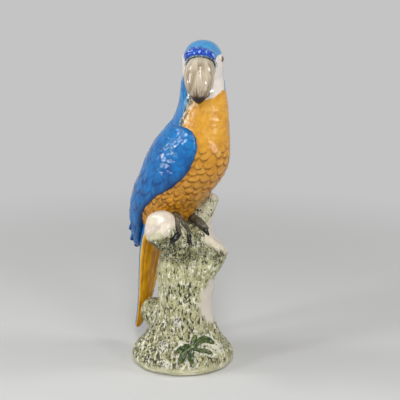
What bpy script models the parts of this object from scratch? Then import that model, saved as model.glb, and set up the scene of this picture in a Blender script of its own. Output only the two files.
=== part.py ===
"""Glazed ceramic parrot on a tree stump, slip-cast in one piece: one hollow solid with a vent in its foot.

Metres, +Z up. The origin is under the middle of the figurine, on the surface that it stands on.
The tables are in millimetres. The bird has axes of its own: forward along its breast, left and up.
"""

import itertools
import math

import bmesh
import bpy
import numpy as np
from mathutils import Vector
from mathutils.bvhtree import BVHTree
from mathutils.kdtree import KDTree

MM = 0.001

# Main sizes
PERCH_HEIGHT = 168.0
BIRD_PLACE = (2.0, 2.0)
BIRD_HEADING = 50.0
NECK_FORWARD = 29.0
HEAD_HEADING = -7.0
HEAD_LIFT = 184.0
WALL = 5.0
INSET = WALL + 1.5
VENT_RADIUS = 8.0

# From the middle of the stump's foot to the middle of the whole figurine: across, depth
OFF_MIDDLE = (-1.91, -1.1)

# How fine the skin is
SKIN_STEP = 1.1
TRIANGLES = 11000

# The columns and rows of points that each skin starts from
MESHES = {
    "body": (168, 190),
    "mantle": (144, 170),
    "trunk": (144, 150),
    "stub": (64, 72),
    "tail": (64, 80),
    "quill": (32, 40),
    "ball": (48, 40),
    "beak": (40, 48),
    "spike": (16, 24),
    "lobe": (24, 32),
    "room": (64, 64),
    "passage": (32, 32),
}

# Feathers that lie like roof tiles: how many go round, the step between rows, how far they stand out,
# and how far their places stray, as a share of a feather (scatter by chance, wander in soft waves)
BREAST_ROUND = 28
BREAST_ROW = 8.4
BREAST_LIFT = 1.7
BREAST_SWELL = 0.7
COVERT_ROUND = 26
COVERT_ROW = 9.5
COVERT_LIFT = 1.3
FLIGHT_ROUND = 18
FLIGHT_ROW = 20.0
FLIGHT_LIFT = 1.7
COVERT_END = 62.0
SCATTER = 0.42
COVERT_SCATTER = 0.5
FLIGHT_SCATTER = 0.3
WANDER = 0.25
WANDER_SIZE = 22.0
WING_WANDER = 0.3
WING_WANDER_SIZE = 26.0
FLIGHT_WANDER = 0.15

# The height over the perch that the breast's rows are counted from, and the number of the first flight row
FIRST_ROW_HEIGHT = 200
FIRST_FLIGHT_ROW = 40

# How far the roots of the feathers lie under the skin, as a share of their lift
BREAST_DIP = 0.3
WING_DIP = 0.4

# Where the small feathers of the wing end: half the height of the change, how far it strays and how widely
COVERT_END_HALF = 2
COVERT_END_STRAY = 5
COVERT_END_LUMPS = 14

# One feather, in steps of its row: half width and how much that varies, how far it reaches at its sides and
# more at its middle, the length of its rounded tip, and how high its root, tip and sides are
TILE_HALF_WIDTH = 0.62
TILE_VARIES = 0.4
TILE_REACH = 0.6
TILE_TIP_REACH = 1.05
TILE_TIP = 0.3
TILE_ROOT_HEIGHT = 0.1
TILE_ROOT_CURVE = 1.2
TILE_TIP_HEIGHT = 0.3
TILE_SIDE_HEIGHT = 0.6

# The most that relief takes off a skin, as a share of the half size there
DEEPEST = 0.9

# A number for each unevenness, so that no two are alike
SEEDS = {
    "breast_across": 5,
    "breast_down": 6,
    "breast": 11,
    "body": 3,
    "wing_across": 31,
    "wing_down": 32,
    "coverts": 33,
    "covert_end": 35,
    "wing": 36,
    "flight": 41,
    "trunk": 51,
    "bark": 60,
    "stump": 63,
}

# Heights over the perch between which the breast's feathers start, turn faint and end
FEATHERS_START = (-14, 4)
FEATHERS_FAINT = (90, 108)
FEATHERS_END = (140, 154)
FAINTNESS = 0.7

# Soft unevenness of the clay: how far it stands out and how wide its lumps are
BODY_LUMPS = (0.45, 9.0)
WING_LUMPS = (0.5, 10.0)
TRUNK_LUMPS = (0.05, 31.0)
TRUNK_LUMPS_RING = 40.0
BARK_LUMPS = (0.9, (11.0, 11.0, 24.0))
STUMP_LUMPS = (0.8, 17.0)

# Bark starts over the smooth edge of the foot
BARK_START = (5, 13)

# A raised edge down the trunk beside the tail, and round bosses, each with its place and radius
BUTTRESS = ((-29, 16, 80), (-31, 7, 64), (-36, -1, 49), (-39.5, -13, 38), (-47, -20, 27))
BUTTRESS_LIFT = 1.6
BUTTRESS_WIDTH = 4.5
BOSSES = (
    ((-20.6, -38, 32), 8.0),
    ((43, -25, 25), 8.0),
    ((-4.4, -31.7, 60), 7.0),
    ((-19, -50, 15), 7.0),
    ((-35.9, -24.8, 184), 8.0),
)
BOSS_LIFT = 2.0

# A crease in the end of the front stub and the lip under it
FOLD = ((-40, -41, 165.5), (-32.3, -44.2, 172), (-25.5, -45.3, 176.9))
FOLD_DEPTH = 1.7
FOLD_WIDTH = 2.6
LIP = ((-35, -48, 164), (-24, -52, 168.5))
LIP_LIFT = 1.6
LIP_WIDTH = 3.2

# Each row: height over the perch, forward place, half depth, half width
BODY = (
    (182, 29, 0, 0),
    (181, 29, 14, 13),
    (172, 29, 23, 22),
    (158, 29, 26, 24),
    (142, 29.4, 28, 25),
    (122, 24.8, 34, 27.5),
    (102, 16.5, 43, 32),
    (82, 9, 50, 34),
    (65, 1, 51, 35),
    (51, -8, 49, 35),
    (37, -17, 46, 34),
    (23, -24, 39, 31),
    (10, -28, 34, 27.5),
    (0, -31, 28, 24),
    (-10, -36, 20, 17),
    (-17, -40, 11, 10),
    (-20, -41, 0, 0),
)

# Folded wings and back as one mantle, in the same terms
MANTLE = (
    (132, 27, 0, 0),
    (131, 27, 22, 18),
    (127, 26, 31, 26.5),
    (121, 24.5, 36, 31),
    (112, 21, 41.5, 34.5),
    (102, 16, 47, 37.2),
    (82, 8, 53, 39.5),
    (65, 1, 54, 40.5),
    (51, -9, 52.5, 39.5),
    (37, -19, 50, 37.5),
    (23, -30, 44, 34),
    (10, -40, 37, 30),
    (-3, -49, 29, 25),
    (-18, -58, 20, 19),
    (-32, -66, 11, 12),
    (-39, -69, 5, 6),
    (-41, -70, 0, 0),
)

# Outline of the mantle seen from the side: forward place, height over the perch
MANTLE_EDGE = (
    (-60, 150),
    (4, 150),
    (9, 127),
    (20, 120.5),
    (31, 117.5),
    (40, 112),
    (45, 104),
    (46, 96),
    (43.5, 86),
    (37, 72),
    (28, 61.5),
    (14, 50),
    (-8, 37),
    (-28, 22),
    (-38, 11),
    (-45, -3),
    (-52, -20),
    (-60, -36),
    (-72, -46),
    (-130, -46),
    (-130, 150),
)
EDGE_ROLL = 5.0
EDGE_SINK = 9.0

# The back between the wings: how far it lies lower, half its width and the heights where that narrows
BACK_SINK = 1.3
BACK_HALF = 15.0
BACK_NARROWS = (40, 112)
BACK_EDGE = (-1.2, 1.5)
BACK_GROOVE = 0.9
BACK_GROOVE_WIDTH = 1.6

# The cosine of the turn from the bird's front behind which the back lies
BEHIND = -0.2

# Long wing feathers of one side: root and tip as forward, left and height over the perch, then half width
QUILLS = (
    ((-44, 22, 22), (-60, 16, -17), 6.5),
    ((-50, 16, 18), (-73, 13, -17), 6.5),
    ((-55, 10, 8), (-75.5, 9, -32), 6),
    ((-58, 4, 0), (-74, 3.5, -41), 5.5),
)
QUILL_THICK = 3.2

# Along a quill: share of the way, share of its half width, share of its thickness
QUILL_SHAPE = ((0, 0, 0), (0.03, 1, 1), (0.5, 1, 1), (0.8, 0.95, 0.9), (0.95, 0.7, 0.7), (1, 0, 0))

# Tail: forward, height over the perch, half width, half thickness
TAIL = (
    (-24, 28, 0, 0),
    (-26, 26, 15, 12),
    (-40, -2, 20.5, 12),
    (-48, -24, 20.5, 8.5),
    (-53, -45, 19.2, 6.5),
    (-57.5, -73, 16.6, 5.5),
    (-62, -98, 13.4, 5),
    (-68, -122, 9.8, 4.2),
    (-74.5, -140, 6.2, 3.4),
    (-77, -146.5, 3, 2),
    (-77.5, -148, 0, 0),
)
TAIL_FEATHERS = 5
TAIL_GROOVE = 0.9
TAIL_GROOVE_WIDTH = 0.16
TAIL_GROOVE_START = (0.12, 0.3)

# Head: half length, half width, half height
HEAD = (27.0, 22.5, 28.5)
HEAD_BOXY = 2.3
BROW = ((20, 0, 14), (11, 17, 7))
EYE_PLACE = (6.0, 20.6, 8.5)
EYE_RADIUS = 3.4
EYE_BULGE = 3.2
EYELID_RADIUS = 5.4
EYELID_BULGE = 3.4
EYE_SINK = 0.6
EYELID_SINK = 2.2

# Beak, from inside the face to its tip: forward, height over the head's middle, half width, half thickness
UPPER_BEAK = (
    (8, 0, 0, 0),
    (10, 0, 14, 15),
    (24, -1, 15.4, 14.5),
    (32, -6, 16.2, 13.5),
    (36.5, -13.5, 15.6, 11.5),
    (38, -21.5, 12.8, 9),
    (37.2, -28.5, 8.8, 6.4),
    (35.4, -34, 4.4, 3.6),
    (34, -37, 0, 0),
)
LOWER_BEAK = (
    (6, -22, 0, 0),
    (8, -22, 11, 9),
    (19, -26, 11.5, 8),
    (27, -27, 9, 6),
    (31, -25, 5, 3),
    (32, -24, 0, 0),
)

BEAKS = (("upper_beak", UPPER_BEAK), ("lower_beak", LOWER_BEAK))

# Stump: height, middle across, middle in depth, half width, half depth
TRUNK = (
    (-6, 0, 0, 0, 0),
    (-5.5, 0, 0, 52, 45),
    (0, 0, 0, 56.5, 49),
    (4, 0, 0, 59.5, 52),
    (9.5, 0, 0, 61.8, 54),
    (16, 0, 0, 59, 51.5),
    (24, 0, 0, 53.3, 47),
    (32, 0, 0, 47, 42),
    (40, 1, 0, 41.5, 38),
    (48, 2, 0, 37.5, 35),
    (58, 3, 0, 34, 32.5),
    (73, 3.6, 0, 32.2, 31),
    (94, 4.5, 0, 33, 31),
    (112, 5, 0, 34, 31),
    (PERCH_HEIGHT - 42, 6.5, 0, 34, 30),
    (PERCH_HEIGHT - 28, 9, 0, 31, 29),
    (PERCH_HEIGHT - 16, 9.5, 0, 29, 27),
    (PERCH_HEIGHT - 7, 10, 0, 24, 22),
    (PERCH_HEIGHT - 1, 10, 0, 14, 13),
    (PERCH_HEIGHT + 1, 10, 0, 0, 0),
)

# Branch stubs from the trunk out: across, depth, height over the perch, radius. Then how the end rounds off,
# as shares of its radius: how far on, how wide.
BLUNT_END = ((0.16, 0.95), (0.26, 0.7), (0.3, 0))
ROUND_END = ((0.2, 0.94), (0.36, 0.74), (0.46, 0))
FRONT_STUB = ((12, 4, -42, 23), (-8, -17, -12, 21.5), (-24, -34.8, 7, 20.5))
BACK_STUB = ((10, 4, -34, 20), (20, 12, 2, 15.5), (37, 16, 30, 8))
SIDE_STUB = ((0, -2, -56, 28), (24, -2, -42, 24), (40.5, -1, -23, 17))
BLEND_STEP = 2.5
BLEND_ROUNDS = 14

# The low stub that carries the tail, with its height over the ground
TAIL_STUB = ((-4, 4, 44, 22), (-26, 22, 48, 19), (-41, 35, 51.5, 17.5))

# Toes over the perch, then claws: across, depth, height over the perch, half width
TOES = (
    ((-7, -22, 18, 4.2), (-6, -34, 16, 3.9), (-4.5, -41, 11, 3.4), (-2.5, -42, 3, 2.9), (-3, -42, 0, 2)),
    ((-5, -18, 16, 4), (-1, -27, 12, 3.6), (4, -27, 5.5, 3.2), (7.5, -26.5, 0, 2.9), (8, -29, -4, 2)),
    ((8, 6, 11, 3.8), (14, -2, 8, 3.8), (20, -7, 3.5, 3.4), (25.5, -9.5, -1.5, 2.8), (27, -10.5, -3, 2)),
    ((12, 6, 11, 3), (17, 0, 8, 3), (23, -4, 4, 2.8), (29, -8, -2, 2.3), (30, -8.5, -3, 1.6)),
)
CLAWS = (
    ((-2.5, -42, 1.5, 2.6), (-7, -46, -3, 2.7), (-11.5, -48, -5.5, 0.9)),
    ((8, -28.5, -3.5, 2.2), (8.5, -29.5, -9.5, 2.3), (9, -30, -14, 0.9)),
    ((26, -9.5, -2, 2), (28.5, -11, -5.5, 2), (31, -12, -8.5, 0.8)),
)

# How far a toe or claw goes on past its last point, as a share of the step before it
SPIKE_END = 0.3

# Leaf on the foot of the stump: the turn from the front in degrees and the height of each point of a
# lobe's spine, then the lobe's half width. Every lobe starts from the middle of the leaf.
LEAF_MIDDLE = (16, 31.5)
LEAF_LOBES = (
    (((21, 38.5), (25, 45)), 3.2),
    (((28, 37), (39, 38.5), (49, 35.5), (55, 31)), 4.0),
    (((28, 28.5), (38, 26.5), (43, 23)), 3.2),
    (((14, 27), (12, 22), (15, 15.5)), 3.8),
    (((7, 28.5), (1, 23.5), (-1, 16)), 3.8),
    (((11, 32), (-1, 32.5), (-10, 26)), 2.6),
    (((11, 34), (2, 35.5)), 2.4),
)
LEAF_THICK = 2.2
LOBE_ROOT = 0.6
OUTSIDE = 200

# Passage from the hollow of the stump to that of the bird: across, depth, height over the perch, radius
PASSAGE = ((8, 0, -34, 15), (0, 6, -4, 12), (-10, 12, 28, 18))
HOLLOW_STEP = 2.5
HOLLOW_TRIANGLES = 700

# How far the two rooms end under the perch and under the middle of the head
STUMP_ROOM_END = 15.0
BIRD_ROOM_END = 25.0

# The slab that cuts the foot flat: its sides and height in metres
GROUND = (0.3, 0.3, 0.03)

# The colour and roughness of each sub-part's glaze
GLAZES = {
    "blue_glaze": ((0.02, 0.16, 0.58), 0.1),
    "ochre_glaze": ((0.66, 0.31, 0.03), 0.1),
    "white_glaze": ((0.78, 0.74, 0.66), 0.12),
    "horn_glaze": ((0.36, 0.31, 0.22), 0.12),
    "bark_glaze": ((0.44, 0.45, 0.26), 0.15),
    "leaf_glaze": ((0.03, 0.12, 0.04), 0.12),
    "claw_glaze": ((0.01, 0.01, 0.01), 0.1),
}


def bird(forward, left, over_perch):
    """Points given along the bird's own axes, as rows of three."""
    turn = math.radians(BIRD_HEADING)
    across = BIRD_PLACE[0] + forward * math.sin(turn) + left * math.cos(turn)
    depth = BIRD_PLACE[1] - forward * math.cos(turn) + left * math.sin(turn)
    return np.stack(np.broadcast_arrays(across, depth, PERCH_HEIGHT + over_perch), -1)


def head(forward, left, over_middle):
    """Points given along the axes of the head, which looks over the bird's right shoulder."""
    turn = math.radians(HEAD_HEADING)
    middle = bird(NECK_FORWARD, 0, HEAD_LIFT)
    across = middle[0] + forward * math.sin(turn) + left * math.cos(turn)
    depth = middle[1] - forward * math.cos(turn) + left * math.sin(turn)
    return np.stack(np.broadcast_arrays(across, depth, middle[2] + over_middle), -1)


def smooth(rows, share):
    """The rows at shares of the way down a table, on a smooth curve through it."""
    table = np.asarray(rows, float)
    last = len(table) - 1
    place = np.clip(share, 0, 1) * last
    step = np.minimum(place.astype(int), last - 1)
    t = (place - step)[:, None]
    before, first, second, after = (table[np.clip(step + k, 0, last)] for k in (-1, 0, 1, 2))
    slope, bend = second - before, 2 * before - 5 * first + 4 * second - after
    return 0.5 * (2 * first + slope * t + bend * t**2 + (3 * first - before - 3 * second + after) * t**3)


def fade(value, low, high):
    """0 below low, 1 over high and smooth between."""
    t = np.clip((value - low) / (high - low), 0, 1)
    return t * t * (3 - 2 * t)


def chance(*cells, seed=0):
    """A fixed number from 0 to 1 for each cell of a lattice."""
    low_bits = np.uint64(0xFFFFFFFF)
    total = np.full(np.shape(cells[0]), (seed * 2654435761 + 97) % 4294967296, np.uint64)
    for cell, factor in zip(cells, (374761393, 668265263, 3266489917)):
        number = np.asarray(cell).astype(np.int64).astype(np.uint64)
        total = (total + number * np.uint64(factor)) & low_bits
        total = ((total ^ (total >> np.uint64(13))) * np.uint64(1274126177)) & low_bits
        total ^= total >> np.uint64(16)
    return total.astype(float) / 4294967296


def cloud(spots, size, seed):
    """Soft noise from about -1 to 1, with lumps of about the size given."""
    spots = spots / np.asarray(size, float)
    cell = np.floor(spots)
    part = spots - cell
    ease = part * part * part * (part * (part * 6 - 15) + 10)
    total = np.zeros(len(spots))
    for corner in itertools.product((0, 1), repeat=3):
        lattice = cell + corner
        slope = np.stack([chance(*lattice.T, seed=seed + k) * 2 - 1 for k in range(3)], -1)
        weight = np.prod(np.where(corner, ease, 1 - ease), axis=1)
        total += weight * np.sum(slope * (part - corner), axis=1)
    return total * 1.7


def tiles(across, down, count, scatter, seed):
    """Height from 0 to 1 of round-ended feathers in staggered rows, each row lying over the one below."""
    height, top_root = np.zeros(len(down)), np.full(len(down), 1e9)
    for back, side in itertools.product((2, 1, 0), (-1, 0, 1)):
        row = np.floor(down) - back
        stagger = 0.5 * np.mod(row, 2)
        column = np.round(across - stagger) + side
        wrapped = np.mod(column, count)
        middle = column + stagger + (chance(wrapped, row, seed=seed) - 0.5) * scatter
        root = row + (chance(wrapped, row, seed=seed + 1) - 0.5) * scatter
        varies = TILE_VARIES * (chance(wrapped, row, seed=seed + 2) - 0.5)
        half_width = TILE_HALF_WIDTH + varies * scatter
        aside, past = (across - middle) / half_width, down - root
        reach = TILE_REACH + TILE_TIP_REACH * np.sqrt(np.clip(1 - aside**2, 0, 1))
        covers = (np.abs(aside) < 1) & (past >= 0) & (past < reach) & (root < top_root)
        rise, edge = np.clip(past / reach, 0, 1), np.clip((reach - past) / TILE_TIP, 0, 1)
        shape = TILE_ROOT_HEIGHT + (1 - TILE_ROOT_HEIGHT) * rise**TILE_ROOT_CURVE
        shape *= TILE_TIP_HEIGHT + (1 - TILE_TIP_HEIGHT) * np.sqrt(edge)
        shape *= TILE_SIDE_HEIGHT + (1 - TILE_SIDE_HEIGHT) * (1 - aside**2)
        height, top_root = np.where(covers, shape, height), np.where(covers, root, top_root)
    return height


def path_distance(spots, points):
    """Distance from each spot to a chain of straight lines."""
    nearest = np.full(len(spots), np.inf)
    for a, b in zip(points, points[1:]):
        a, b = np.array(a, float), np.array(b, float)
        t = np.clip((spots - a) @ (b - a) / ((b - a) @ (b - a)), 0, 1)
        nearest = np.minimum(nearest, np.linalg.norm(spots - a - t[:, None] * (b - a), axis=1))
    return nearest


def shaped_ball(name, columns, rows, place):
    """A closed skin: place puts each point of a ball, by its share of the way down and its turn."""
    mesh = bmesh.new()
    bmesh.ops.create_uvsphere(mesh, u_segments=round(columns), v_segments=round(rows), radius=1)
    ball_spots = np.array([vertex.co for vertex in mesh.verts])
    share = np.arccos(np.clip(ball_spots[:, 2], -1, 1)) / math.pi
    for vertex, spot in zip(mesh.verts, place(share, np.arctan2(ball_spots[:, 1], ball_spots[:, 0]))):
        vertex.co = spot * MM
    bmesh.ops.recalc_face_normals(mesh, faces=mesh.faces)
    return keep(name, mesh)


def press(thing, lift_at):
    """Moves a skin out by as many millimetres as lift_at gives at each point."""
    count = len(thing.data.vertices)
    spots, outward = np.empty(count * 3), np.empty(count * 3)
    thing.data.vertices.foreach_get("co", spots)
    thing.data.vertex_normals.foreach_get("vector", outward)
    spots = spots.reshape(-1, 3)
    lift = lift_at(spots / MM)[:, None] * MM
    thing.data.vertices.foreach_set("co", (spots + outward.reshape(-1, 3) * lift).ravel())
    thing.data.update()
    return thing


def keep(name, mesh):
    """Makes an object of a bmesh."""
    data = bpy.data.meshes.new(name)
    mesh.to_mesh(data)
    mesh.free()
    thing = bpy.data.objects.new(name, data)
    bpy.context.scene.collection.objects.link(thing)
    return thing


def slice_point(row, turn, lift):
    """Points of level slices of the bird, lifted off each slice's ellipse by lift."""
    depth, width = np.maximum(row[:, 2], 0), np.maximum(row[:, 3], 0)
    return bird(row[:, 1] + (depth + lift) * np.cos(turn), (width + lift) * np.sin(turn), row[:, 0])


def make_body():
    def place(share, turn):
        row = smooth(BODY, share)
        spots, up = slice_point(row, turn, 0), row[:, 0]
        faint = (1 - FAINTNESS * fade(up, *FEATHERS_FAINT)) * (1 - fade(up, *FEATHERS_END))
        feathered = fade(up, *FEATHERS_START) * faint
        wander = cloud(spots, WANDER_SIZE, SEEDS["breast_across"]) * WANDER
        drift = cloud(spots, WANDER_SIZE, SEEDS["breast_down"]) * WANDER
        across = turn / math.tau * BREAST_ROUND + wander
        down = (FIRST_ROW_HEIGHT - up) / BREAST_ROW + drift
        feathers = tiles(across, down, BREAST_ROUND, SCATTER, SEEDS["breast"])
        lift = BREAST_LIFT * (feathers - BREAST_DIP) * feathered
        lift += BREAST_SWELL * fade(up, *FEATHERS_START) * (1 - fade(up, *FEATHERS_END))
        lift += BODY_LUMPS[0] * cloud(spots, BODY_LUMPS[1], SEEDS["body"])
        return slice_point(row, turn, np.maximum(lift, -DEEPEST * row[:, 3].clip(0)))

    return shaped_ball("body", *MESHES["body"], place)


def edge_distance(x, y, outline):
    """Distance from points to a closed outline, positive inside it."""
    inside, nearest = np.zeros(len(x), bool), np.full(len(x), np.inf)
    for (ax, ay), (bx, by) in zip(outline, outline[1:] + outline[:1]):
        dx, dy = bx - ax, by - ay
        t = np.clip(((x - ax) * dx + (y - ay) * dy) / (dx * dx + dy * dy), 0, 1)
        nearest = np.minimum(nearest, np.hypot(ax + t * dx - x, ay + t * dy - y))
        if dy:
            inside ^= ((ay > y) != (by > y)) & (x < ax + (y - ay) / dy * dx)
    return np.where(inside, nearest, -nearest)


def make_mantle():
    def place(share, turn):
        row = smooth(MANTLE, share)
        up, forward = row[:, 0], row[:, 1]
        depth, width = np.maximum(row[:, 2], 0), np.maximum(row[:, 3], 0)
        inward = edge_distance(forward + depth * np.cos(turn), up, MANTLE_EDGE)
        roll = np.sqrt(np.clip(1 - (1 - np.clip(inward / EDGE_ROLL, 0, 1)) ** 2, 0, 1))
        spots, down = slice_point(row, turn, 0), MANTLE[0][0] - up
        across = turn / math.tau
        wander = cloud(spots, WING_WANDER_SIZE, SEEDS["wing_across"])
        drift = cloud(spots, WING_WANDER_SIZE, SEEDS["wing_down"])
        coverts_across = across * COVERT_ROUND + wander * WING_WANDER
        coverts_down = down / COVERT_ROW + drift * WING_WANDER
        coverts = tiles(coverts_across, coverts_down, COVERT_ROUND, COVERT_SCATTER, SEEDS["coverts"])
        flight_across = across * FLIGHT_ROUND + wander * WING_WANDER
        flight_down = (down - COVERT_END) / FLIGHT_ROW + FIRST_FLIGHT_ROW + drift * FLIGHT_WANDER
        flight = tiles(flight_across, flight_down, FLIGHT_ROUND, FLIGHT_SCATTER, SEEDS["flight"])
        stray = cloud(spots, COVERT_END_LUMPS, SEEDS["covert_end"]) * COVERT_END_STRAY
        flown = fade(down + stray, COVERT_END - COVERT_END_HALF, COVERT_END + COVERT_END_HALF)
        lift = COVERT_LIFT * (coverts - WING_DIP) * (1 - flown) + FLIGHT_LIFT * (flight - WING_DIP) * flown
        lift += WING_LUMPS[0] * cloud(spots, WING_LUMPS[1], SEEDS["wing"])
        beside = np.abs(width * np.sin(turn)) - BACK_HALF * fade(up, *BACK_NARROWS)
        back = BACK_SINK * (fade(beside, *BACK_EDGE) - 1)
        back -= BACK_GROOVE * np.exp(-((beside / BACK_GROOVE_WIDTH) ** 2))
        lift = lift * roll + np.where(np.cos(turn) < BEHIND, back, 0) - EDGE_SINK * (1 - roll)
        return slice_point(row, turn, np.maximum(lift, -DEEPEST * np.minimum(depth, width)))

    return shaped_ball("mantle", *MESHES["mantle"], place)


def limb(name, stations, across, mesh_size, relief=None):
    """A skin round a smooth path of stations: a point, a half width along across, a half thickness."""
    table = [(*point, half_width, half_thick) for point, half_width, half_thick in stations]

    def place(share, turn):
        row = smooth(table, share)
        along = smooth(table, share + 0.02)[:, :3] - smooth(table, share - 0.02)[:, :3]
        thick_way = np.cross(along, across)
        thick_way /= np.linalg.norm(thick_way, axis=1)[:, None]
        wide_way = np.cross(thick_way, along)
        wide_way /= np.linalg.norm(wide_way, axis=1)[:, None]
        half_width, half_thick = np.maximum(row[:, 3], 0), np.maximum(row[:, 4], 0)
        lift = relief(share, turn) * np.minimum(1, half_thick / 2) if relief else 0
        wide = wide_way * ((half_width + lift) * np.cos(turn))[:, None]
        return row[:, :3] + wide + thick_way * ((half_thick + lift) * np.sin(turn))[:, None]

    return shaped_ball(name, *mesh_size, place)


def ball(name, middle, halves, to_world, boxy=2.0):
    """A rounded lump with the half sizes given, in the axes that to_world reads."""

    def place(share, turn):
        level = np.sin(math.pi * share)
        unit = (level * np.cos(turn), level * np.sin(turn), np.cos(math.pi * share))
        size = sum(np.abs(u) ** boxy for u in unit) ** (1 / boxy)
        return to_world(*(m + h * u / size for m, h, u in zip(middle, halves, unit)))

    return shaped_ball(name, *MESHES["ball"], place)


def make_head():
    left_way = head(0, 1, 0) - head(0, 0, 0)
    forward, left, height = EYE_PLACE
    skull = ball("skull", (0, 0, 0), HEAD, head, HEAD_BOXY)
    things = {
        "blue_glaze": [skull, ball("brow", *BROW, head)],
        "horn_glaze": [limb(name, head_stations(table), left_way, MESHES["beak"]) for name, table in BEAKS],
        "white_glaze": [],
        "claw_glaze": [],
    }
    lid = (EYELID_RADIUS, EYELID_BULGE, EYELID_RADIUS)
    eye = (EYE_RADIUS, EYE_BULGE, EYE_RADIUS)
    for side in (1, -1):
        lid_place = (forward, side * (left - EYELID_SINK), height)
        eye_place = (forward, side * (left - EYE_SINK), height)
        things["white_glaze"].append(ball("eyelid", lid_place, lid, head))
        things["claw_glaze"].append(ball("eye", eye_place, eye, head))
    return things


def head_stations(table):
    """The stations of a limb from a table along the head's own axes."""
    return [(head(forward, 0, height), wide, thick) for forward, height, wide, thick in table]


def make_tail():
    left_way = bird(0, 1, 0) - bird(0, 0, 0)
    stations = [(bird(forward, 0, height), wide, thick) for forward, height, wide, thick in TAIL]

    def grooves(share, turn):
        line = np.abs(np.sin(TAIL_FEATHERS * np.arccos(np.cos(turn)) / 2))
        return -TAIL_GROOVE * np.exp(-((line / TAIL_GROOVE_WIDTH) ** 2)) * fade(share, *TAIL_GROOVE_START)

    return limb("tail", stations, left_way, MESHES["tail"], grooves)


def make_quills():
    quills = []
    for side in (1, -1):
        flat_way = bird(0, side, 0) - bird(0, 0, 0)
        for root, tip, half_width in QUILLS:
            start, end = (bird(forward, side * left, height) for forward, left, height in (root, tip))
            stations = [
                (start + (end - start) * share, half_width * wide, QUILL_THICK * thick)
                for share, wide, thick in QUILL_SHAPE
            ]
            quills.append(limb("quill", stations, flat_way, MESHES["quill"]))
    return quills


def stump_relief(spots):
    """How far the clay of the stump stands out at each spot."""
    height = spots[:, 2]
    lift = BUTTRESS_LIFT * np.exp(-((path_distance(spots, BUTTRESS) / BUTTRESS_WIDTH) ** 2))
    for middle, radius in BOSSES:
        lift += BOSS_LIFT * np.exp(-((np.linalg.norm(spots - np.array(middle), axis=1) / radius) ** 2))
    lift += BARK_LUMPS[0] * cloud(spots, BARK_LUMPS[1], SEEDS["bark"]) * fade(height, *BARK_START)
    lift += STUMP_LUMPS[0] * cloud(spots, STUMP_LUMPS[1], SEEDS["stump"])
    lift -= FOLD_DEPTH * np.exp(-((path_distance(spots, FOLD) / FOLD_WIDTH) ** 2))
    return lift + LIP_LIFT * np.exp(-((path_distance(spots, LIP) / LIP_WIDTH) ** 2))


def make_stump():
    def place(share, turn):
        height, across, depth, half_width, half_depth = smooth(TRUNK, share).T
        ring = np.stack([np.cos(turn) * TRUNK_LUMPS_RING, np.sin(turn) * TRUNK_LUMPS_RING, height], -1)
        lump = 1 + TRUNK_LUMPS[0] * cloud(ring, TRUNK_LUMPS[1], SEEDS["trunk"])
        x = across + np.maximum(half_width, 0) * lump * np.cos(turn)
        y = depth + np.maximum(half_depth, 0) * lump * np.sin(turn)
        return np.stack([x, y, height], -1)

    stump = [shaped_ball("trunk", *MESHES["trunk"], place)]
    for name, base, table, end_shape in (
        ("front_stub", PERCH_HEIGHT, FRONT_STUB, ROUND_END),
        ("back_stub", PERCH_HEIGHT, BACK_STUB, BLUNT_END),
        ("side_stub", PERCH_HEIGHT, SIDE_STUB, BLUNT_END),
        ("tail_stub", 0, TAIL_STUB, BLUNT_END),
    ):
        points = [(np.array((x, y, base + z), float), r) for x, y, z, r in table]
        end, radius = points[-1]
        way = (end - points[-2][0]) / np.linalg.norm(end - points[-2][0])
        stations = [(points[0][0], 0, 0), *((p, r, r) for p, r in points)]
        stations += [(end + way * r * radius, radius * w, radius * w) for r, w in end_shape]
        stump.append(limb(name, stations, (0, 0, 1), MESHES["stub"]))
    return press(blended("stump", stump), stump_relief)


def blended(name, things):
    """Joins overlapping skins into one whose inner corners are rounded out."""
    rough = join(name, things)
    skin = rough.modifiers.new("one_skin", "REMESH")
    skin.mode = "VOXEL"
    skin.voxel_size = BLEND_STEP * MM
    rounding = rough.modifiers.new("rounding", "SMOOTH")
    rounding.factor = 0.5
    rounding.iterations = round(BLEND_ROUNDS)
    finer = rough.modifiers.new("finer", "SUBSURF")
    finer.levels = finer.render_levels = 1
    return applied(rough)


def applied(thing):
    """The object with its modifiers made part of its mesh."""
    graph = bpy.context.evaluated_depsgraph_get()
    data = bpy.data.meshes.new_from_object(thing.evaluated_get(graph))
    name = thing.name
    bpy.data.objects.remove(thing)
    solid = bpy.data.objects.new(name, data)
    bpy.context.scene.collection.objects.link(solid)
    return solid


def join(name, things):
    """Puts several closed skins into one mesh."""
    mesh = bmesh.new()
    for thing in things:
        mesh.from_mesh(thing.data)
        bpy.data.objects.remove(thing)
    return keep(name, mesh)


def make_feet():
    def spike(name, points):
        spots = [(np.array((x, y, PERCH_HEIGHT + z), float), r, r) for x, y, z, r in points]
        beyond = spots[-1][0] + SPIKE_END * (spots[-1][0] - spots[-2][0])
        stations = [(spots[0][0], 0, 0), *spots, (beyond, 0, 0)]
        return limb(name, stations, bird(0, 1, 0) - bird(0, 0, 0), MESHES["spike"])

    return {
        "horn_glaze": [spike("toe", points) for points in TOES],
        "claw_glaze": [spike("claw", points) for points in CLAWS],
    }


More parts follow.
